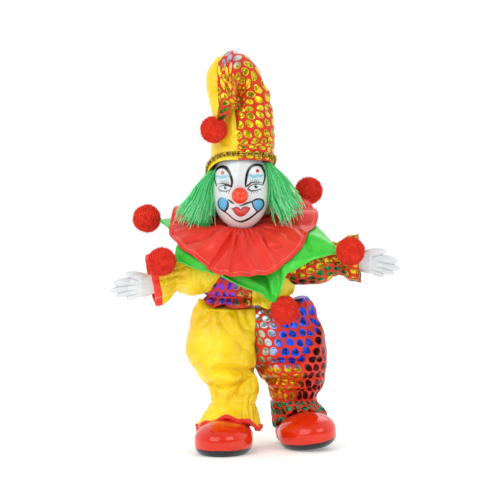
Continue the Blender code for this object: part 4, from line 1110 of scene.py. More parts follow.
def leg_rings(rows, side, lean, seed):
    """Rings of a trouser leg from the inside of its hem up to the waist, and each ring's height."""
    angles = np.arange(LEG_AROUND) * 2 * math.pi / LEG_AROUND
    front = np.maximum(0, -np.sin(angles)) ** 2
    heights = np.linspace(rows[0][0], rows[-1][0], LEG_ROWS)
    inner = ((30, 0.62), (26, 0.66), (22, 0.78), (18, 0.92), (16.6, 0.975))
    rings, levels = [], []
    for height, share in [*inner, *((h, 1.0) for h in heights)]:
        across, depth, half_width, half_depth = curve_through(rows, max(height, rows[0][0]))
        low = float(np.clip(1 - (height - rows[0][0]) / (ANKLE_THREAD - rows[0][0]), 0, 1))
        above = max(0.0, height - ANKLE_THREAD)
        pleat = 0.03 + 0.045 * low if height < ANKLE_THREAD else 0.05 * math.exp(-above / 8)
        pleat += 0.028 * math.exp(-(rows[-1][0] - height) / 7)
        out = share * (1 + pleat * gathers(angles, 15, seed) - 0.035
            * math.exp(-((height - ANKLE_THREAD) / 1.6) ** 2))
        x, y = half_width * out * np.cos(angles), half_depth * out * np.sin(angles)
        wave = RUFFLE_WAVE * low * np.cos(HEM_WAVES * angles + seed)
        z = height + wave + lean * low * x + HEM_LIFT * low * front
        x = across + x
        hip = smoothstep(32, 39, x) if side > 0 else smoothstep(-32, -38, x) * 0.8
        z = z + HIP_LIFT * hip * smoothstep(88, rows[-1][0], height)
        seam = LEG_SEAM + LEG_SPREAD * np.maximum(0, CROTCH - z)
        x = np.maximum(x, seam + 0.2) if side > 0 else np.minimum(x, seam - 0.2)
        rings.append(np.stack([x, depth + y, z], axis=1) * UNIT + np.array(ORIGIN))
        levels.append(height if share == 1 else rows[0][0] - 1)
    return np.array(rings), np.array(levels)


def make_leg(name, rows, side, lean, seed, folds):
    rings, levels = leg_rings(rows, side, lean, seed)
    rings[6:] = push_out(rings[6:], folds, 0.55, seed)
    leg = skin(name, rings)
    thread = np.exp(-((levels - ANKLE_THREAD) / 1.2) ** 2)
    hem = levels < rows[0][0] + 0.4
    waist = levels > rows[-1][0] - 2.5
    hold = np.repeat(np.maximum.reduce([thread, hem * 1.0, waist * 1.0]), LEG_AROUND)
    stuffed(leg, np.concatenate([hold, [1, 1]]))
    return leg, rings[5]


leg_yellow, yellow_hem = make_leg("stuffed_leg_yellow", YELLOW_LEG, -1, 0.0, 0.7, YELLOW_FOLDS)
leg_dotted, _ = make_leg("stuffed_leg_dotted", DOTTED_LEG, 1, 0.15, 2.1, DOTTED_FOLDS)
finished(leg_yellow, yellow_satin, ["trouser_leg_yellow"])
finished(leg_dotted, dotted_cloth, ["trouser_leg_dotted"])

units, shown = in_units(leg_dotted)
front = smoothstep(8, -4, units[:, 1] - 4)
outer = smoothstep(44, 49, units[:, 0] - 0.30 * (shown - 80))
ruffle = smoothstep(36, 32, shown)
low_band = smoothstep(62, 57, shown) * (1 - ruffle)
high = 1 - np.maximum(ruffle, low_band)
silver = smoothstep(24, 12, units[:, 0])
foil = blend_of(((ruffle, "#1F7A54"), (low_band * (1 - outer), "#DDAA16"), (low_band * outer, "#5A1016"),
    (high * outer * front, "#3A070C"), (high * (1 - outer) * front * silver, "#C4D2D8"),
    (high * (1 - outer) * front * (1 - silver), "#2A57E6"), (high * (1 - front), "#7A3AC8")))
add_colours(leg_dotted, "Foil", foil)

# %% [markdown]
# ## Bindings
# The yellow hem and the yellow cuff are bound in red satin: a strip folded round the edge. Its
# section is a flat loop that runs round the same ring of points as the edge it covers.


# %% Bindings
BINDING_SECTION = (  # away from the edge's middle and past the edge, as shares of its thickness and width
    (0.55, -0.45),
    (0.75, 0.0),
    (0.80, 0.45),
    (0.65, 0.85),
    (0.15, 1.0),
    (-0.35, 0.85),
    (-0.45, 0.4),
    (-0.45, 0.0),
)


def binding(name, edge, past, width, thickness):
    """A strip folded round an edge, given as a ring of points, that reaches past it."""
    edge = np.asarray(edge, float)
    past = np.array(past, float)
    out = edge - edge.mean(axis=0)
    out -= (out @ past)[:, None] * past
    out /= np.linalg.norm(out, axis=1, keepdims=True)
    loops = [edge + out * thickness * away + past * width * beyond for away, beyond in BINDING_SECTION]
    loops.append(loops[0])
    rings = np.array(loops)
    piece = skin(name, rings, False, False)
    bm = bmesh.new()
    bm.from_mesh(piece.data)
    bmesh.ops.remove_doubles(bm, verts=bm.verts, dist=1e-7)
    bm.to_mesh(piece.data)
    bm.free()
    face_outwards(piece)
    return rounded(piece)


hem_trim = binding("red_hem_binding", yellow_hem, (0, 0, -1), 0.0030, 0.0016)
finished(hem_trim, red_satin, ["hem_trim"])

# %% [markdown]
# ## The top
# The body of the costume is one stuffed shape in two halves, foil-dot cloth on the viewer's left and
# yellow satin on the right. A thread gathers it at the waist, and below it a short ruffle hangs
# over the trousers. It is stuffed as one, and then parted at the seam.

# %% Top
TORSO = (  # the same columns as a leg
    (106.0, -1.0, 0, 32.5, 22.3),
    (108.5, -1.0, 0, 32.5, 22.3),
    (112.0, -1.5, 0, 31.0, 20.0),
    (115.5, -1.0, 0, 32.5, 21.0),
    (121.6, 0.0, 0, 33.5, 22.0),
    (132.6, -0.5, 0, 32.5, 21.5),
    (142.6, -3.5, 0, 27.0, 18.5),
    (148.6, -5.5, 1, 20.0, 15.5),
    (151.2, -6.5, 1.5, 14.0, 12.5),
)
TORSO_SEAM = 1.5
WAIST_THREAD = 112.3
TORSO_AROUND = 128
TORSO_ROWS = 60


def torso_rings():
    angles = np.arange(TORSO_AROUND) * 2 * math.pi / TORSO_AROUND
    rings, levels = [], []
    inner = ((110, 0.88), (107.6, 0.92), (106.2, 0.97))
    for height, share in [*inner, *((h, 1.0) for h in np.linspace(TORSO[0][0], TORSO[-1][0], TORSO_ROWS))]:
        across, depth, half_width, half_depth = curve_through(TORSO, height)
        low = float(np.clip(1 - (height - TORSO[0][0]) / (WAIST_THREAD - TORSO[0][0]), 0, 1))
        pleat = 0.035 + 0.03 * low if height < WAIST_THREAD else 0.045 * math.exp(-(height - WAIST_THREAD)
            / 5)
        out = share * (1 + pleat * gathers(angles, 22, 1.1) - 0.03
            * math.exp(-((height - WAIST_THREAD) / 1.4) ** 2))
        z = height + 1.3 * low * np.cos(9 * angles + 0.5) + 0.6 * low * np.cos(14 * angles)
        x, y = across + half_width * out * np.cos(angles), depth + half_depth * out * np.sin(angles)
        rings.append(np.stack([x, y, z], axis=1) * UNIT + np.array(ORIGIN))
        levels.append(height if share == 1 else TORSO[0][0] - 1)
    return np.array(rings), np.array(levels)


rings, levels = torso_rings()
rings[4:] = push_out(rings[4:], (), 0.5, 3)
top = skin("top", rings)
hold = np.maximum(np.exp(-((levels - WAIST_THREAD) / 1.2) ** 2),
    (levels < TORSO[0][0] + 0.4) | (levels > 147))
stuffed(top, np.concatenate([np.repeat(hold, TORSO_AROUND), [1, 1]]))


SEAM_GAP = 0.00012
SEAM_DIP = 0.0006
SEAM_DIP_WIDTH = 0.0012


def half_of(piece, name, side):
    """The part of a piece on one side of the seam, closed along the cut."""
    bm = bmesh.new()
    bm.from_mesh(piece.data)
    geometry = [*bm.verts, *bm.edges, *bm.faces]
    seam = Vector((ORIGIN.x + TORSO_SEAM * UNIT + side * SEAM_GAP, 0, 0))
    bmesh.ops.bisect_plane(bm, geom=geometry, plane_co=seam, plane_no=(-side, 0, 0), clear_outer=True)
    for vertex in bm.verts:
        away = abs(vertex.co.x - seam.x) / SEAM_DIP_WIDTH
        vertex.co -= vertex.normal * SEAM_DIP * math.exp(-(away**2))
    bmesh.ops.holes_fill(bm, edges=[edge for edge in bm.edges if edge.is_boundary], sides=0)
    return object_from(bm, name)


top_dotted = half_of(top, "stuffed_top_dotted", -1)
top_yellow = half_of(top, "stuffed_top_yellow", 1)
bpy.data.objects.remove(top)
units, shown = in_units(top_dotted)
front = smoothstep(6, -6, units[:, 1])
edge = smoothstep(108.8, 107.2, units[:, 2])
violet = np.array([0.5 + 0.5 * noise.noise(Vector(point) * 0.12) for point in units])
foil = blend_of(((edge, "#8A1A10"), (front * violet * (1 - edge), "#3F48D8"),
    (front * (1 - violet) * (1 - edge), "#8E35CF"), ((1 - front) * (1 - edge), "#D9A816")))
gold_side = (smoothstep(-14, -6, units[:, 0]) * front)[:, None]
foil = foil * (1 - gold_side) + gold_side * paint_of("#C9A24A")
add_colours(top_dotted, "Foil", foil)
finished(top_dotted, dotted_cloth, ["top_dotted_half"])
finished(top_yellow, yellow_satin, ["top_yellow_half"])

# %% [markdown]
# ## Sleeves
# A sleeve is a stuffed tube, tied round the wrist of its hand, with a flared cuff past the thread.

# %% Sleeves
SLEEVE_PROFILE = (  # share of the length, radius
    (0.0, 15.0),
    (0.16, 16.6),
    (0.34, 17.0),
    (0.54, 16.4),
    (0.68, 12.8),
    (0.75, 12.2),
    (0.87, 15.3),
    (1.0, 17.2),
)
CUFF_RECESS = ((1.0, 15.9), (0.96, 14.4), (0.90, 12.4), (0.84, 10.2), (0.78, 8.2))
CUFF_WAVES = 7
CUFF_WAVE = 0.05
WRIST_THREAD = 0.72
SLEEVE_AROUND = 104
SLEEVE_ROWS = 66
YELLOW_SLEEVE = (at(-22, -2, 134.6), at(-69.5, -8, 125.3))
DOTTED_SLEEVE = (at(22, -2, 137.5), at(81, -6, 140.8))


def make_sleeve(name, shoulder, cuff, seed):
    along = np.array(cuff - shoulder)
    direction = (cuff - shoulder).normalized()
    level = direction.cross(Vector((0, 0, 1))).normalized()
    upright = level.cross(direction).normalized()
    angles = np.arange(SLEEVE_AROUND) * 2 * math.pi / SLEEVE_AROUND
    outer = [(share, float(curve_through(SLEEVE_PROFILE, share)[0])) for share
        in np.linspace(0, 1, SLEEVE_ROWS)]
    rings = []
    for index, (share, radius) in enumerate([*outer, *CUFF_RECESS]):
        flare = max(0.0, (share - WRIST_THREAD) / (1 - WRIST_THREAD))
        pleat = 0.05 + 0.02 * flare if share > WRIST_THREAD else 0.07 * math.exp((share - WRIST_THREAD)
            / 0.12)
        pleat += 0.035 * math.exp(-share / 0.1)
        wave = CUFF_WAVE * flare * np.cos(CUFF_WAVES * angles)
        pinch = 0.05 * math.exp(-(((share - WRIST_THREAD) / 0.025) ** 2))
        out = radius * UNIT * (1 + pleat * gathers(angles, 13, seed) + wave - pinch)
        ring = np.array(shoulder) + along * share
        rings.append(ring + np.outer(out * np.cos(angles), level) + np.outer(out * np.sin(angles), upright))
    rings = np.array(rings)
    rings[2 : SLEEVE_ROWS - 1] = push_out(rings[2 : SLEEVE_ROWS - 1], (), 0.6, seed)
    sleeve = skin(name, rings)
    shares = np.array([share for share, _ in [*outer, *CUFF_RECESS]])
    thread = np.exp(-(((shares - WRIST_THREAD) / 0.022) ** 2))
    ends = (shares < 0.02) | (shares > 0.995)
    hold = np.maximum(thread, ends)
    hold[SLEEVE_ROWS:] = 1
    stuffed(sleeve, np.concatenate([np.repeat(hold, SLEEVE_AROUND), [1, 1]]))
    return sleeve, rings[SLEEVE_ROWS - 1], direction


sleeve_yellow, yellow_cuff, cuff_direction = make_sleeve("stuffed_sleeve_yellow", *YELLOW_SLEEVE, 1.3)
sleeve_dotted, _, _ = make_sleeve("stuffed_sleeve_dotted", *DOTTED_SLEEVE, 2.9)
finished(sleeve_yellow, yellow_satin, ["sleeve_yellow"])
finished(sleeve_dotted, dotted_cloth, ["sleeve_dotted"])
units, shown = in_units(sleeve_dotted)
patch = np.array([smoothstep(-0.05, 0.15, noise.noise(Vector(point) * 0.07 + Vector((3, 1, 7)))) for point
    in units])
add_colours(sleeve_dotted, "Foil", blend_of(((1 - patch, "#E6C022"), (patch, "#1D7A3C"))))
cuff_trim = binding("red_cuff_binding", yellow_cuff, cuff_direction, 0.0044, 0.0013)
finished(cuff_trim, red_satin, ["cuff_trim"])

# %% [markdown]
# ## Hat
# The hat is a stuffed cone of two panels. Its tip folds over to the viewer's left and hangs down in
# front, so its rings follow the bend, and its two seams turn with it. It is stuffed in one piece and
# then parted along the seams, which lie in shallow valleys.

# %% Hat
BRIM_AXIS = at(-7, 0, 0)
BRIM = (  # azimuth, radius, height
    (0, 18.8, 214.3),
    (45, 22.8, 213.4),
    (90, 24.7, 209.3),
    (135, 26.0, 199.5),
    (180, 26.0, 190.0),
    (225, 26.5, 190.0),
    (270, 25.0, 202.0),
    (315, 22.4, 212.6),
)
BRIM_TWIST = 5
LOWER_BAND = 9
LOWER_BAND_REACH = (0.97, 0.9)
HAT_RINGS = (  # inner x and z, outer x and z, depth, half depth, turn of the seam in degrees
    (-28.1, 225.5, 18.1, 227.5, 3, 21.5, 11),
    (-25.1, 239.7, 17.4, 240.5, 4, 20, 18),
    (-20.5, 248.5, 16.3, 250.0, 5, 17.5, 30),
    (-12.8, 253.4, 14.6, 259.6, 5, 15.5, 50),
    (-10.2, 255.8, 9.4, 270.8, 4, 15, 60),
    (-9.6, 257.8, 2.4, 284.6, 2, 15.5, 66),
    (-9.2, 258.5, -6.4, 291.0, -1, 16, 74),
    (-9.4, 258.7, -15.2, 293.0, -4, 16, 92),
    (-9.0, 257.6, -24.4, 288.3, -7, 15, 126),
    (-9.0, 256.4, -31.0, 278.7, -10, 13.5, 160),
    (-9.6, 254.8, -31.6, 266.2, -12.5, 12, 165),
    (-10.8, 252.6, -29.4, 255.3, -14.5, 10, 162),
    (-14.0, 249.0, -27.9, 249.0, -16, 8, 156),
    (-18.0, 244.6, -26.4, 243.8, -17, 5.5, 152),
    (-20.5, 241.0, -25.8, 240.5, -17.5, 3.5, 150),
)
HAT_AROUND = 112  # half of it for each panel
HAT_STEPS = 6  # rings between two of the table's


def brim_point(azimuth, rise=0.0, reach=1.0):
    radius, height = curve_around(BRIM, azimuth)
    return BRIM_AXIS + heading(azimuth) * radius * reach * UNIT + Vector((0, 0, height + rise)) * UNIT


def hat_section(index, angle):
    """A point of the brim, the band above it or a ring of the hat, by angle in degrees."""
    if index == 0:
        return brim_point(90 - angle)
    if index == 1:
        right, left = LOWER_BAND_REACH
        share = (1 + math.cos(math.radians(angle))) / 2
        return brim_point(90 - angle, LOWER_BAND, left + (right - left) * share)
    inner_x, inner_z, outer_x, outer_z, depth, half_depth, _ = HAT_RINGS[index - 2]
    middle = at((inner_x + outer_x) / 2, depth, (inner_z + outer_z) / 2)
    outward = Vector(((outer_x - inner_x) / 2, 0, (outer_z - inner_z) / 2)) * UNIT
    turn = math.radians(angle)
    return middle + outward * math.cos(turn) - Vector((0, half_depth, 0)) * UNIT * math.sin(turn)


twists = [BRIM_TWIST, BRIM_TWIST + 2, *(row[-1] for row in HAT_RINGS)]
sections = []
for index, twist in enumerate(twists):
    turns = [twist + 90 - 360 * k / HAT_AROUND for k in range(HAT_AROUND)]
    sections.append([tuple(hat_section(index, turn)) for turn in turns])
rings = smooth_line(sections, HAT_STEPS)
HAT_FOLDS = (
    (((-8.4, 263, 1.6), (-7.2, 267, 1.6), (-5.5, 272, 1.6), (-5, 277, 1.4)), -2.0),
    (((-5.5, 262, 1.5), (-3, 264, 1.5), (1, 270, 1.3)), -1.3),
    (((-13.5, 261.5, 1.6), (-15, 264, 1.6), (-17, 270, 1.4)), -1.1),
    (((-2, 256, 2.2), (3, 252, 2.2), (8, 250, 2)), -0.9),
)
after_seam = np.arange(HAT_AROUND) % (HAT_AROUND // 2)
from_seam = np.minimum(after_seam, HAT_AROUND // 2 - after_seam)
middles = rings.mean(axis=1, keepdims=True)
valley = 0.035 * np.exp(-((from_seam / 1.6) ** 2))
rings = middles + (rings - middles) * (1 - valley)[None, :, None]
rings[3:] = push_out(rings[3:], HAT_FOLDS, 0.35, 5)
hat = skin("hat", rings, False, True)
hold = np.zeros(rings.shape[:2])
hold[:2] = 1
hold[-4:] = 1
hold[:, from_seam == 0] = 0.5
stuffed(hat, np.concatenate([hold.ravel(), [1]]), growth=0.05)
hat_surface = surface_of(hat)

# %% Parting the hat along its seams
hat_girth = max(np.linalg.norm(rings - np.roll(rings, 1, axis=1), axis=2).sum(axis=1))


def hat_panel(name, wanted):
    """The faces of the hat whose place around it passes a test."""
    panel = in_scene(name, hat.data.copy())
    bm = bmesh.new()
    bm.from_mesh(panel.data)
    layer = bm.loops.layers.uv["Cloth"]
    away = [f for f in bm.faces if not wanted(sum(loop[layer].uv.x for loop in f.loops) / len(f.loops)
        / hat_girth)]
    bmesh.ops.delete(bm, geom=away, context="FACES")
    bm.to_mesh(panel.data)
    bm.free()
    return panel


def in_true_width(piece, centre):
    """Redraws a panel's map so that its width anywhere is that of the cloth, from a centre line."""
    steps = np.linalg.norm(np.roll(rings, -1, axis=1) - rings, axis=2)
    across = np.concatenate([np.zeros((len(rings), 1)), np.cumsum(steps, axis=1)], axis=1)
    across -= across[:, centre : centre + 1]
    along = distances_along(rings)
    layer = piece.data.uv_layers["Cloth"].data
    uvs = np.empty(2 * len(layer))
    layer.foreach_get("uv", uvs)
    uvs = uvs.reshape(-1, 2)
    column = np.clip(uvs[:, 0] / hat_girth * HAT_AROUND, 0, HAT_AROUND - 0.001)
    row = np.clip(np.interp(uvs[:, 1], along, np.arange(len(rings))), 0, len(rings) - 1.001)
    k, i = column.astype(int), row.astype(int)
    left = across[i, k] * (i + 1 - row) + across[i + 1, k] * (row - i)
    right = across[i, k + 1] * (i + 1 - row) + across[i + 1, k + 1] * (row - i)
    uvs[:, 0] = left * (k + 1 - column) + right * (column - k)
    layer.foreach_set("uv", uvs.ravel())


hat_dotted = hat_panel("stuffed_hat_dotted", lambda share: share < 0.5)
hat_yellow = hat_panel("stuffed_hat_yellow", lambda share: share >= 0.5)
in_true_width(hat_dotted, HAT_AROUND // 4)
in_true_width(hat_yellow, 3 * HAT_AROUND // 4)
bpy.data.objects.remove(hat)
units, shown = in_units(hat_dotted)
tip_silver = smoothstep(279, 286, shown) * smoothstep(-2, -12, units[:, 0])
green_end = smoothstep(258, 250, shown) * smoothstep(-12, -18, units[:, 0])
back = smoothstep(4, 12, units[:, 1])
add_colours(hat_dotted, "Foil", blend_of(((tip_silver, "#B9C6DA"), (green_end, "#4C7A1E"),
    (back * (1 - tip_silver), "#C07818"), ((1 - tip_silver) * (1 - green_end) * (1 - back), "#EFD22C"))))
finished(hat_dotted, dotted_cloth, ["hat_dotted_panel"])
finished(hat_yellow, yellow_satin, ["hat_yellow_panel"])

# %% [markdown]
# ## Collars
# Two collars lie on the shoulders: a green one with six points, and on it a red ruff, gathered at
# the neck. Each is a grid of points, by ring from the neckline to the hem. Folds that were drawn in
# the front view and regular gathers raise or sink it, and then it is laid on what is below.

# %% Laying a collar on what is below
NECK_AXIS = at(-6.7, 3.5, 0)
NECK_REACH = 10.5  # from the neck's axis to the neckline
FOLD_STRENGTH = 2.1  # all drawn folds of the collars are made so many times as deep
CLEARANCE = 0.0012  # from the middle of a collar to what it lies on
LOOK_DOWN_FROM = 0.03  # how far above a point the look for what is under it starts


def soft_noise(grid, spots, shift=0):
    """Smooth noise at each point of a grid, with so many spots to the metre."""
    return np.array([[noise.noise(Vector(point) * spots + Vector((shift, 0, 0))) for point in ring]
        for ring in grid])


def sheet_normals(grid):
    """The upper side's direction at each point of a grid of rings round the neck."""
    around = np.roll(grid, -1, axis=1) - np.roll(grid, 1, axis=1)
    outward = np.gradient(grid, axis=0)
    normals = np.cross(outward, around)
    normals /= np.maximum(np.linalg.norm(normals, axis=2, keepdims=True), 1e-12)
    return normals * np.where(normals[..., 2:].mean() < 0, -1, 1)


def folded(grid, folds, extra):
    """Moves a sheet along its normals by drawn folds, and by a given height for each point."""
    units = units_of(grid)
    towards_front = smoothstep(12, -2, units[..., 1])
    move = drawn_folds(np.array(extra, float), units, folds, FOLD_STRENGTH, towards_front, 16)
    return grid + sheet_normals(grid) * (move * UNIT)[..., None]


def laid_on(grid, supports):
    """Lifts a sheet clear of what is below it, and carries the cloth around each lifted place with it."""
    surfaces = [surface_of(piece) for piece in supports]
    for _ in range(3):
        lift = np.zeros(grid.shape[:2])
        for index in np.ndindex(lift.shape):
            point = Vector(grid[index])
            for surface in surfaces:
                hit, normal, *_ = surface.ray_cast(point + Vector((0, 0, LOOK_DOWN_FROM)), Vector((0, 0, -1)),
                    LOOK_DOWN_FROM + 2 * CLEARANCE)
                if hit:
                    needed = CLEARANCE / max(abs(normal.z), 0.4)
                    lift[index] = max(lift[index], hit.z + needed - point.z)
        if lift.max() <= 0:
            break
        soft = lift.copy()
        for _ in range(8):
            inner = np.concatenate([soft[:1], soft[:-1]])
            outer = np.concatenate([soft[1:], soft[-1:]])
            soft = np.maximum(lift, (np.roll(soft, 1, axis=1) + np.roll(soft, -1, axis=1) + inner + outer)
                / 4)
        grid = grid + np.stack([np.zeros_like(soft), np.zeros_like(soft), soft], axis=2)
    return grid


def sheet_from(name, grid, thickness):
    """A closed sheet of cloth with a rounded hem, from a grid of rings from the neckline outwards."""
    rows, around = grid.shape[:2]
    bm = bmesh.new()
    layer = bm.loops.layers.uv.new("Cloth")
    loops = [[bm.verts.new(point) for point in ring] for ring in grid]
    across = distances_along(grid)
    girth = np.linalg.norm(grid[-1] - np.roll(grid[-1], 1, axis=0), axis=1).sum()
    for i in range(rows - 1):
        for k in range(around):
            corners = ((i, k), (i + 1, k), (i + 1, k + 1), (i, k + 1))
            face = bm.faces.new([loops[a][b % around] for a, b in corners])
            for loop, (a, b) in zip(face.loops, corners):
                loop[layer].uv = (b / around * girth, across[a])
    bm.normal_update()
    if sum(face.normal.z for face in bm.faces) < 0:
        bmesh.ops.reverse_faces(bm, faces=bm.faces)
    sheet = object_from(bm, name)
    area = sum(polygon.area for polygon in sheet.data.polygons)
    cloth = sheet.modifiers.new("cloth", "SOLIDIFY")
    cloth.thickness = thickness
    cloth.offset = 0
    settled(sheet)
    sheet.data.shade_smooth()
    print(name, "is", round(across[-1], 4), "wide,", round(girth, 4), "round its hem,", round(area, 5), "m2")
    return sheet


def hem_ring(grid, inset, above):
    """A line of places on top of a sheet, a little in from its hem."""
    inwards = grid[-3] - grid[-1]
    inwards /= np.linalg.norm(inwards, axis=1, keepdims=True)
    return grid[-1] + inwards * inset + sheet_normals(grid)[-2] * above


# %% Star collar
STAR_NECKLINE = 155.5
STAR_HEM = (  # tips and valleys by turns: azimuth at the neck, then the place of the hem
    (25, 20, -39, 109.5),
    (45, 26, -42, 132.7),
    (68, 65, -29, 146.5),
    (95, 50, 4, 162.8),
    (135, 38, 49, 181.7),
    (165, 6, 48, 170.4),
    (193, -21, 67, 167.4),
    (215, -38, 38, 165.8),
    (253, -67, 19, 166.7),
    (275, -52, -8, 154.5),
    (300, -58, -28, 141.0),
    (335, -27, -42, 132.7),
)
STAR_THICKNESS = 0.0011
STAR_STEPS = 24
STAR_ROWS = 34
COLLAR_POMPOM_RADIUS = 0.0102
STAR_FOLDS = (
    (((-24, 127, 1.6), (-10, 119, 1.6), (8, 111.5, 1.6)), 1.5),
    (((-26, 131, 1.6), (-10, 123.5, 1.8), (8, 115.5, 1.6)), -1.0),
    (((14, 133, 1.8), (16.5, 123, 1.8), (17.5, 114, 1.6)), 1.3),
    (((21, 133, 1.8), (20.6, 124, 1.6), (19.6, 115, 1.4)), -1.0),
    (((-8, 128, 3.5), (2, 121, 3.5), (10, 115, 3)), 1.0),
    (((31, 134.8, 1.6), (45, 137.5, 1.6), (60, 141.5, 1.6)), 1.6),
    (((33, 139.5, 1.8), (46, 142.0, 1.8), (60, 145, 1.6)), -1.1),
    (((41, 151, 2.2), (43, 146, 2)), -1.3),
    (((44, 156, 3), (52, 152, 3), (60, 148, 2.4)), 0.9),
    (((-52, 146, 2.2), (-42, 139.5, 2), (-32, 134.5, 2)), 1.2),
    (((-50, 141, 1.8), (-42, 135.5, 1.6), (-34, 132.4, 1.4)), -0.9),
)


def neckline_point(azimuth, height, reach=NECK_REACH):
    return NECK_AXIS + heading(azimuth) * reach * UNIT + Vector((0, 0, height * UNIT))


def rings_between(starts, ends, rows, arch):
    """Rings of points from a neckline to a hem, arched upward by so many units."""
    starts, ends = np.array(starts), np.array(ends)
    shares = np.linspace(0, 1, rows) ** 0.85
    rise = np.sin(math.pi * shares**0.62) * arch * UNIT
    grid = starts + (ends - starts) * shares[:, None, None]
    grid[..., 2] += rise[:, None]
    return grid, shares


def star_grid():
    """The green collar's rings, with edges that bow in a little between a point and a valley."""
    corners = [at(*row[1:]) for row in STAR_HEM]
    for i, place in enumerate(POMPOM_PLACES):
        from_pompom = (corners[2 * i] - at(*place)).normalized()
        corners[2 * i] = at(*place) + from_pompom * COLLAR_POMPOM_RADIUS * 0.9
    starts, hem = [], []
    for i, corner in enumerate(corners):
        j = (i + 1) % len(corners)
        turn = STAR_HEM[i][0]
        sweep = (STAR_HEM[j][0] - turn) % 360
        for step in range(STAR_STEPS):
            share = step / STAR_STEPS
            starts.append(neckline_point(turn + sweep * share, STAR_NECKLINE))
            bow = math.sin(math.pi * share) * 1.2 * UNIT
            place = corner.lerp(corners[j], share)
            hem.append(place + (NECK_AXIS - place).normalized() * bow * 0.3 + Vector((0, 0, bow)))
    return rings_between(starts, hem, STAR_ROWS, 3.0)


grid, shares = star_grid()
turns = np.arange(grid.shape[1]) / grid.shape[1] * 2 * math.pi
gathered = np.exp(-shares / 0.22)[:, None] * gathers(turns, 24, 4.2)[None, :] * 1.3
grid = folded(grid, STAR_FOLDS, gathered + soft_noise(grid, 45) * 1.3 * shares[:, None])
grid = laid_on(grid, [top_dotted, top_yellow, sleeve_yellow, sleeve_dotted, leg_yellow, leg_dotted])
star_collar = sheet_from("green_star_collar", grid, STAR_THICKNESS)
finished(star_collar, green_satin, ["star_collar"])

# %% Ruff
RUFF_NECKLINE = 160.8
RUFF_HEM = (  # azimuth, radius, height
    (0, 52, 131.0),
    (20, 52, 133.2),
    (37, 52, 136.0),
    (60, 52, 144.9),
    (75, 51.5, 156.0),
    (90, 55.3, 163.8),
    (105, 59, 170.6),
    (120, 60.0, 178),
    (135, 61.5, 181),
    (170, 51, 179),
    (205, 50, 178),
    (235, 54, 178),
    (255, 52.5, 170.7),
    (275, 53, 158.5),
    (298, 53, 153.1),
    (320, 52, 143.5),
    (340, 52, 134.0),
)
RUFF_THICKNESS = 0.0009
RUFF_AROUND = 320
RUFF_ROWS = 40
RUFF_PLEATS = 10
RUFF_FOLDS = (
    (((-13.5, 158, 1.5), (-19, 148, 1.9), (-28, 133, 1.9)), -1.9),
    (((-11, 156, 1.3), (-13, 143, 2.1), (-17, 129, 2.2)), 1.7),
    (((-9.5, 155.5, 0.9), (-12.5, 142, 1.1), (-15.2, 129.5, 1.2)), -1.3),
    (((-6, 154, 2.4), (-1, 141, 3.4), (4, 130, 3.6)), 1.3),
    (((5.4, 158, 1.0), (9.5, 149, 1.2), (18, 133.5, 1.3)), 1.6),
    (((9, 157, 1.3), (13.4, 148, 1.7), (22.5, 135, 1.8)), -2.0),
    (((10, 151, 1.2), (16, 148.6, 1.3), (22, 147.5, 1.2)), -0.9),
    (((22, 155, 3.4), (28, 148, 3.4), (34, 143, 3)), 1.0),
    (((31, 167, 1.6), (36, 160, 1.8), (39, 153, 1.6)), -1.4),
    (((-22, 158, 2.2), (-30, 150, 2.6), (-40, 144, 2.6)), 1.1),
    (((-26, 161, 1.3), (-33, 156, 1.8), (-45, 152.5, 1.8)), -1.2),
    (((-36, 163.5, 1.8), (-46, 161, 2), (-54, 158.5, 2)), 1.2),
)


def ruff_grid():
    starts, hem = [], []
    for k in range(RUFF_AROUND):
        azimuth = 360 * k / RUFF_AROUND
        radius, height = curve_around(RUFF_HEM, azimuth)
        scallop = 0.9 * math.cos(math.radians(RUFF_PLEATS * azimuth)) + 0.3 * math.cos(
            math.radians(23 * azimuth))
        starts.append(neckline_point(azimuth, RUFF_NECKLINE, NECK_REACH + 0.3))
        hem.append(neckline_point(azimuth, height + scallop, radius))
    return rings_between(starts, hem, RUFF_ROWS, 5.0)


grid, shares = ruff_grid()
turns = np.arange(RUFF_AROUND) / RUFF_AROUND * 2 * math.pi
near_neck = np.exp(-shares / 0.25)[:, None] * gathers(turns, 26, 6.1)[None, :] * 2.0
at_back = smoothstep(-0.15, 0.35, -np.cos(turns))[None, :] * gathers(turns, 15, 1.7)[None, :]
pleats = at_back * np.sin(math.pi * np.clip(shares * 0.75, 0, 1))[:, None] * 2.6
grid = folded(grid, RUFF_FOLDS, near_neck + pleats + soft_noise(grid, 40, 5) * 1.2)
ruff_rings = laid_on(grid, [star_collar])
ruff = sheet_from("red_ruff", ruff_rings, RUFF_THICKNESS)
finished(ruff, red_satin, ["ruff"])

# %% [markdown]
# ## Geometry Nodes
# What repeats is made by Geometry Nodes: the stitches along the ruff's hem, the yarn of the pompoms,
# the strands of the wig and the loops of the gold braid. Each tree has its sizes as named inputs and
# ends in a plain mesh with a material.


# %% Helpers for Geometry Nodes
SOCKET_KINDS = {int: "NodeSocketInt", float: "NodeSocketFloat"}


def new_tree(name, **sizes):
    """A tree with a geometry input and output and one named input for each size."""
    tree = bpy.data.node_groups.new(name, "GeometryNodeTree")
    tree.interface.new_socket("Geometry", in_out="INPUT", socket_type="NodeSocketGeometry")
    tree.interface.new_socket("Geometry", in_out="OUTPUT", socket_type="NodeSocketGeometry")
    for key, value in sizes.items():
        made = tree.interface.new_socket(key.replace("_", " "), in_out="INPUT",
            socket_type=SOCKET_KINDS[type(value)])
        made.default_value = value
    return tree, node(tree, "NodeGroupInput").outputs


def end_tree(tree, geometry, material):
    """Realizes what a tree has made, gives it a material and sends it out."""
    plain = node(tree, "GeometryNodeRealizeInstances", geometry)
    painted = node(tree, "GeometryNodeSetMaterial", plain, Material=material)
    node(tree, "NodeGroupOutput", painted)


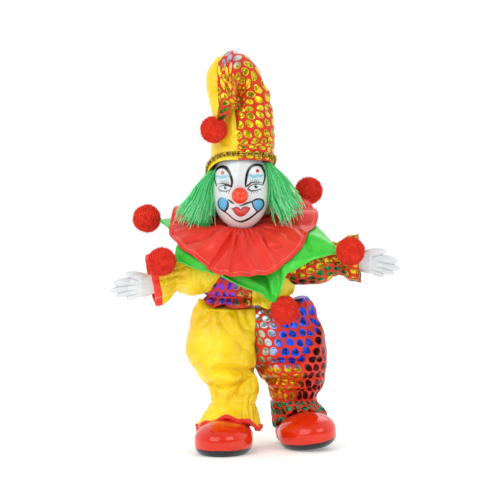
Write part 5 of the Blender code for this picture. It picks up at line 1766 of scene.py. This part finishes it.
def grown(guide, tree, name, **sizes):
    """Runs a tree on a guide object and leaves a plain mesh in its place."""
    modifier = guide.modifiers.new("grown", "NODES")
    modifier.node_group = tree
    for socket in tree.interface.items_tree:
        key = socket.name.replace(" ", "_")
        if socket.in_out == "INPUT" and key in sizes:
            modifier[socket.identifier] = sizes[key]
    guide.update_tag()
    bpy.context.view_layer.update()
    evaluated = guide.evaluated_get(bpy.context.evaluated_depsgraph_get())
    mesh = bpy.data.meshes.new_from_object(evaluated)
    mesh.name = name
    mesh.shade_smooth()
    bpy.data.objects.remove(guide)
    print(name, "has", sum(len(polygon.vertices) - 2 for polygon in mesh.polygons), "triangles")
    return in_scene(name, mesh)


def line_through(name, places, closed=False):
    """A guide curve through places in space."""
    data = bpy.data.curves.new(name, "CURVE")
    data.dimensions = "3D"
    for route in places:
        spline = data.splines.new("POLY")
        spline.points.add(len(route) - 1)
        spline.points.foreach_set("co", np.hstack([np.array(route), np.ones((len(route), 1))]).ravel())
        spline.use_cyclic_u = closed
    return in_scene(name, data)


# %% Stitches
pale_thread, tree, shader = new_finish("pale_red_sewing_thread", Roughness=0.5, Sheen_Weight=0.3)
where = node(tree, "ShaderNodeTexCoord").outputs["Object"]
twist = node(tree, "ShaderNodeTexWave", where, Scale=900.0, bands_direction="DIAGONAL").outputs["Fac"]
feed(shader, node(tree, "ShaderNodeValToRGB", twist, stops=((0.2, "#FF6A5A"), (0.8, "#FF9C8A"))))

tree, size = new_tree("stitches", Stitch_Spacing=0.0024, Stitch_Length=0.0019, Thread_Radius=0.00022)
hem = node(tree, "GeometryNodeResampleCurve", size[0], Length=size["Stitch Spacing"], mode="LENGTH")
stations = node(tree, "GeometryNodeCurveToPoints", hem, mode="EVALUATED")
stitch = node(tree, "GeometryNodeMeshCylinder", 6, Radius=size["Thread Radius"], Depth=size["Stitch Length"])
sewn = node(tree, "GeometryNodeInstanceOnPoints", stations, Instance=stitch,
    Rotation=stations.outputs["Rotation"])
end_tree(tree, sewn, pale_thread)
STITCHES_FROM_EDGE = 0.0032
STITCHES_ABOVE = RUFF_THICKNESS / 2
hem_line = hem_ring(ruff_rings, STITCHES_FROM_EDGE, STITCHES_ABOVE)
stitching = grown(line_through("hem_line", [hem_line], closed=True), tree, "ruff_stitches")
finished(stitching, pale_thread, [])

# %% [markdown]
# ## Pompoms
# Each pompom is a ball of cut yarn: a core with short fibres that lean every way.

# %% Pompoms
red_yarn, tree, shader = new_finish("red_wool_yarn", Roughness=0.95, Sheen_Weight=0.05)
where = node(tree, "ShaderNodeTexCoord").outputs["Object"]
tufts = node(tree, "ShaderNodeTexNoise", where, Scale=900.0, Detail=3.0, Roughness=0.6)
clumps = node(tree, "ShaderNodeTexNoise", where, Scale=220.0, Detail=1.0)
fine = node(tree, "ShaderNodeMath", tufts, 0.6, operation="MULTIPLY")
broad = node(tree, "ShaderNodeMath", clumps, 0.4, operation="MULTIPLY")
tone = node(tree, "ShaderNodeMath", fine, broad, operation="ADD")
colour = node(tree, "ShaderNodeValToRGB", tone, stops=((0.3, "#E42410"), (0.5, "#F6381E"), (0.72, "#FF5636")))
relief = node(tree, "ShaderNodeBump", Height=tufts, Distance=0.0006, Strength=0.8)
feed(shader, colour, Normal=relief)

pompom, size = new_tree("pompom", Fibres=3000, Fibre_Length=0.0016, Fibre_Radius=0.00030, Lean=0.85, Seed=1)
face_area = node(pompom, "GeometryNodeInputMeshFaceArea")
skin_area = node(pompom, "GeometryNodeAttributeStatistic", size[0], Attribute=face_area, domain="FACE")
density = node(pompom, "ShaderNodeMath", size["Fibres"], skin_area.outputs["Sum"], operation="DIVIDE")
roots = node(pompom, "GeometryNodeDistributePointsOnFaces", size[0], Density=density, Seed=size["Seed"])
fibre = node(pompom, "GeometryNodeMeshCone", 3, 2, Radius_Top=0.00005, Radius_Bottom=size["Fibre Radius"],
    Depth=size["Fibre Length"], fill_type="NONE")
other_way = node(pompom, "ShaderNodeMath", size["Lean"], -1.0, operation="MULTIPLY")
least = node(pompom, "ShaderNodeCombineXYZ", other_way, other_way, -3.0)
most = node(pompom, "ShaderNodeCombineXYZ", size["Lean"], size["Lean"], 3.0)
leaning = node(pompom, "FunctionNodeRandomValue", least, most, Seed=size["Seed"], data_type="FLOAT_VECTOR")
turned = node(pompom, "FunctionNodeRotateRotation", roots.outputs["Rotation"], leaning,
    rotation_space="LOCAL")
lengths = node(pompom, "FunctionNodeRandomValue", _2=0.55, _3=1.15, Seed=size["Seed"], data_type="FLOAT")
yarn = node(pompom, "GeometryNodeInstanceOnPoints", roots, Instance=fibre, Rotation=turned,
    Scale=lengths.outputs[1])
whole = node(pompom, "GeometryNodeJoinGeometry", size[0])
feed(whole, yarn)
end_tree(pompom, whole, red_yarn)

CORE_SHARE = 0.955  # of the pompom's radius, with the fibres outside it
HAT_POMPOM = (at(-26.6, -18, 236.2), 0.0096)


def make_pompom(name, centre, radius, seed):
    """A slightly lumpy ball with its yarn."""
    bm = bmesh.new()
    bmesh.ops.create_icosphere(bm, subdivisions=4, radius=radius * CORE_SHARE)
    for vertex in bm.verts:
        lump = noise.noise(vertex.co * 170 + Vector((seed * 3.1, seed, 0)))
        vertex.co *= 1 + 0.055 * lump
        vertex.co += centre
    return grown(object_from(bm, name + "_core"), pompom, name, Seed=seed)


for number, place in enumerate(POMPOM_PLACES, start=1):
    ball = make_pompom(f"yarn_pompom_{number}", at(*place), COLLAR_POMPOM_RADIUS, number)
    finished(ball, red_yarn, [f"collar_pompom_{number}"])
hat_ball = make_pompom("yarn_pompom_hat", *HAT_POMPOM, 9)
finished(hat_ball, red_yarn, ["hat_pompom"])

# %% [markdown]
# ## Wig
# Locks leave the brim of the hat, bulge at the temples and fall on the ruff. Each lock is a guide
# line, and Geometry Nodes lay fifteen strands along it, which spread towards their tips.

# %% Wig
HAIR = (  # azimuth, then widest, lowest and inner lowest radius and height
    (76, 33, 184, 41, 170, 30, 166),
    (90, 38, 184, 43, 171, 27, 168),
    (112, 36, 184, 39, 177, 26, 174),
    (135, 32, 185, 34, 179, 24, 176),
    (180, 30, 184, 31, 177, 22, 175),
    (225, 31, 182, 33, 175, 23, 173),
    (250, 34, 180, 39, 169, 25, 168),
    (270, 37, 181, 46, 167, 24, 163),
    (284, 33, 182, 43, 165, 24, 159),
)
HAIR_ENDS = (HAIR[0][0], HAIR[-1][0])
LOCKS_ACROSS = 62
LOCK_GAP = 0.0025
BASE_GAP = 0.001
ABOVE_RUFF = 0.0020
HAIR_LAYERS = ((1.0, 0.0), (0.86, 0.45), (0.72, 0.85))  # share of the radius, and how far in a lock ends

green_fur, tree, shader = new_finish("green_wig_fibre", Roughness=0.42, Sheen_Weight=0.2, Anisotropic=0.5)
# Painted shade and light: each strand is darker at its root and paler, near white, towards its tip, with a
# random tone for each strand and fine streaks
along = node(tree, "ShaderNodeAttribute", attribute_name="Along").outputs["Fac"]
tone = node(tree, "ShaderNodeAttribute", attribute_name="Tone").outputs["Fac"]
where = node(tree, "ShaderNodeTexCoord").outputs["Object"]
streaks = node(tree, "ShaderNodeTexNoise", where, Scale=350.0)
streaked = node(tree, "ShaderNodeMath", streaks, 0.2, operation="MULTIPLY")
mixed = node(tree, "ShaderNodeMath", tone, 0.42, streaked, operation="MULTIPLY_ADD")
shade = node(tree, "ShaderNodeMath", along, 0.42, mixed, operation="MULTIPLY_ADD")
feed(shader, node(tree, "ShaderNodeValToRGB", shade, stops=((0.08, "#2EC85E"), (0.35, "#4CE67C"),
    (0.6, "#6CF69C"), (0.88, "#A4FCC4"), (1.0, "#DEFAE8"))))

wig, size = new_tree("wig", Strands=15, Root_Spread=0.0016, Tip_Spread=0.0040, Strand_Radius=0.00023, Rings=9)
lock = node(wig, "GeometryNodeDuplicateElements", size[0], Amount=size["Strands"], domain="SPLINE")
even = node(wig, "GeometryNodeResampleCurve", lock, Count=size["Rings"])
number = node(wig, "GeometryNodeInputIndex")
way_down = node(wig, "GeometryNodeSplineParameter").outputs["Factor"]


def for_each_strand(kind, seed, least, most):
    """A random value that is the same all along a strand."""
    first = 0 if kind == "FLOAT_VECTOR" else 2
    limits = {f"_{first}": least, f"_{first + 1}": most}
    chance = node(wig, "FunctionNodeRandomValue", **limits, ID=number, Seed=seed, data_type=kind)
    return node(wig, "GeometryNodeFieldOnDomain", chance.outputs[first // 2], data_type=kind, domain="CURVE")


aside = for_each_strand("FLOAT_VECTOR", 5, (-1, -1, -1), (1, 1, 1))
strand_tone = for_each_strand("FLOAT", 8, 0.0, 1.0)
strand_share = for_each_strand("FLOAT", 11, 0.78, 1.0)
wider = node(wig, "ShaderNodeMath", way_down, size["Tip Spread"], size["Root Spread"],
    operation="MULTIPLY_ADD")
shift = node(wig, "ShaderNodeVectorMath", aside, Scale=wider, operation="SCALE")
spread = node(wig, "GeometryNodeSetPosition", even, Offset=shift)
tapered = node(wig, "ShaderNodeMath", way_down, -0.75, 1.0, operation="MULTIPLY_ADD")
thinner = node(wig, "GeometryNodeSetCurveRadius", spread, Radius=tapered)
marked = node(wig, "GeometryNodeStoreNamedAttribute", thinner, Name="Along", Value=way_down,
    data_type="FLOAT", domain="POINT")
toned = node(wig, "GeometryNodeStoreNamedAttribute", marked, Name="Tone", Value=strand_tone,
    data_type="FLOAT", domain="POINT")
cut = node(wig, "GeometryNodeTrimCurve", toned, End=strand_share, mode="FACTOR")
section = node(wig, "GeometryNodeCurvePrimitiveCircle", 3, Radius=size["Strand Radius"])
end_tree(wig, node(wig, "GeometryNodeCurveToMesh", cut, section), green_fur)


def lock_places(azimuth, reach, inward, seed):
    """A lock's places from under the brim to its tip on the ruff."""
    wide, wide_z, low, low_z, inner, inner_z = curve_through(HAIR, float(np.clip(azimuth, *HAIR_ENDS)))
    chance = np.random.default_rng(seed)
    out = heading(azimuth)
    side = heading(azimuth + 90)
    rooted = brim_point(azimuth, -1.0, 0.9 * reach)
    root_radius = (rooted - BRIM_AXIS).dot(out) / UNIT
    root_z = (rooted - BRIM_AXIS).z / UNIT
    end_radius = low + (inner - low) * inward + chance.uniform(-2.5, 1.0)
    end_z = low_z + (inner_z - low_z) * inward + chance.uniform(-1.0, 5.0)
    sway = chance.uniform(-3.5, 3.5)
    stops = (
        (root_radius, root_z, 0),
        ((root_radius + wide * reach) / 2 + 1.5, (root_z * 0.55 + wide_z * 0.45), sway * 0.2),
        (wide * reach, wide_z + 1, sway * 0.5),
        ((wide * reach + end_radius) / 2 + 0.8, (wide_z + end_z) / 2 + 1, sway * 0.8),
        (end_radius, end_z, sway),
    )
    return [BRIM_AXIS + out * radius * UNIT + side * across * UNIT + Vector((0, 0, height * UNIT))
        for radius, height, across in stops]


locks = []
for layer, (reach, inward) in enumerate(HAIR_LAYERS):
    for k in range(LOCKS_ACROSS):
        azimuth = HAIR_ENDS[0] - 5 + (HAIR_ENDS[1] - HAIR_ENDS[0] + 10) * (k + 0.33 * layer) / LOCKS_ACROSS
        locks.append(lock_places(azimuth, reach, inward, 1000 * layer + k))
head_surface = surface_of(head)
ruff_surface = surface_of(ruff)


def off_the_head(point, gap):
    """A point, pushed out of the head to a gap above its glaze where it isn't clear of it."""
    hit, normal, *_ = head_surface.find_nearest(point)
    return hit + normal * gap if (point - hit).dot(normal) < gap else point


for route in locks:
    for index in range(1, len(route)):
        point = off_the_head(route[index], LOCK_GAP)
        hit, *_ = ruff_surface.ray_cast(point + Vector((0, 0, LOOK_DOWN_FROM)), Vector((0, 0, -1)),
            LOOK_DOWN_FROM + LOCK_GAP)
        if hit:
            point = Vector((point.x, point.y, max(point.z, hit.z + ABOVE_RUFF)))
        route[index] = point
hair = grown(line_through("locks", locks), wig, "green_wig")


def wig_body():
    """The dense fibre under the outer locks, from one temple round the back to the other."""
    rings = []
    for azimuth in np.linspace(*HAIR_ENDS, 44):
        wide, wide_z, low, low_z, inner, inner_z = curve_through(HAIR, azimuth)
        out = heading(azimuth)
        start = brim_point(azimuth, -1.0, 0.9)
        root_radius, root_z = (start - BRIM_AXIS).dot(out) / UNIT, (start - BRIM_AXIS).z / UNIT
        outline = (
            (root_radius, root_z),
            (wide * 0.84, (root_z + wide_z) / 2),
            (wide * 0.93, wide_z),
            (low * 0.9, low_z + 3),
            (inner, inner_z + 3),
            (inner * 0.9, wide_z - 4),
            (20.5, root_z - 2),
        )
        rings.append([BRIM_AXIS + out * radius * UNIT + Vector((0, 0, height * UNIT)) for radius,
            height in outline])
    return np.array(rings)


body_rings = wig_body()
for index in np.ndindex(body_rings.shape[:2]):
    body_rings[index] = off_the_head(Vector(body_rings[index]), BASE_GAP)
wig_core = skin("green_wig_base", body_rings)
face_outwards(wig_core)
finished(hair, green_fur, ["hair"])
finished(wig_core, green_fur, [])

# %% [markdown]
# ## Gold braid
# Tinsel loops in gold, brown and black stand out all round the hat's brim.

# %% Braid
BRAID_WIDTH = 0.0016
BRAID_ABOVE_BRIM = 0.0036
BRAID_GAP = 0.0009  # from the hat to the middle of the braid
tinsel, tree, shader = new_finish("gold_tinsel_braid", Metallic=0.75, Roughness=0.32)
where = node(tree, "ShaderNodeTexCoord").outputs["Object"]
glints = node(tree, "ShaderNodeTexNoise", where, Scale=700.0, Roughness=0.7)
feed(shader, node(tree, "ShaderNodeValToRGB", glints, stops=((0.36, "#3A2408"), (0.46, "#8C7414"),
    (0.55, "#DDB52C"), (0.66, "#FBEB8A"))))

braid, size = new_tree("braid", Loops=120, Loop_Radius=0.00098, Thread_Radius=0.00022, Tilt=1.1,
    Core_Radius=0.0005, Seed=4)
band = node(braid, "GeometryNodeResampleCurve", size[0], Count=size["Loops"])
stations = node(braid, "GeometryNodeCurveToPoints", band, mode="EVALUATED")
ring = node(braid, "GeometryNodeCurvePrimitiveCircle", 10, Radius=size["Loop Radius"])
thread = node(braid, "GeometryNodeCurvePrimitiveCircle", 4, Radius=size["Thread Radius"])
loop_mesh = node(braid, "GeometryNodeCurveToMesh", ring, thread)
other_way = node(braid, "ShaderNodeMath", size["Tilt"], -1.0, operation="MULTIPLY")
least = node(braid, "ShaderNodeCombineXYZ", other_way, other_way, -3.0)
most = node(braid, "ShaderNodeCombineXYZ", size["Tilt"], size["Tilt"], 3.0)
tilt = node(braid, "FunctionNodeRandomValue", least, most, Seed=size["Seed"], data_type="FLOAT_VECTOR")
tilted = node(braid, "FunctionNodeRotateRotation", stations.outputs["Rotation"], tilt, rotation_space="LOCAL")
loops = node(braid, "GeometryNodeInstanceOnPoints", stations, Instance=loop_mesh, Rotation=tilted)
core_section = node(braid, "GeometryNodeCurvePrimitiveCircle", 8, Radius=size["Core Radius"])
whole = node(braid, "GeometryNodeJoinGeometry", loops)
feed(whole, node(braid, "GeometryNodeCurveToMesh", band, core_section))
end_tree(braid, whole, tinsel)

braid_lines = []
for rise in (0.0, 1.0):
    route = []
    for azimuth in np.arange(0, 360, 4):
        point = brim_point(azimuth, (BRAID_ABOVE_BRIM + rise * BRAID_WIDTH) / UNIT, 1.0)
        hit, normal, *_ = hat_surface.find_nearest(point)
        route.append(hit + normal * BRAID_GAP)
    braid_lines.append(route)
gold_trim = grown(line_through("braid_lines", braid_lines, closed=True), braid, "gold_tinsel_trim")
finished(gold_trim, tinsel, ["hat_gold_trim"])
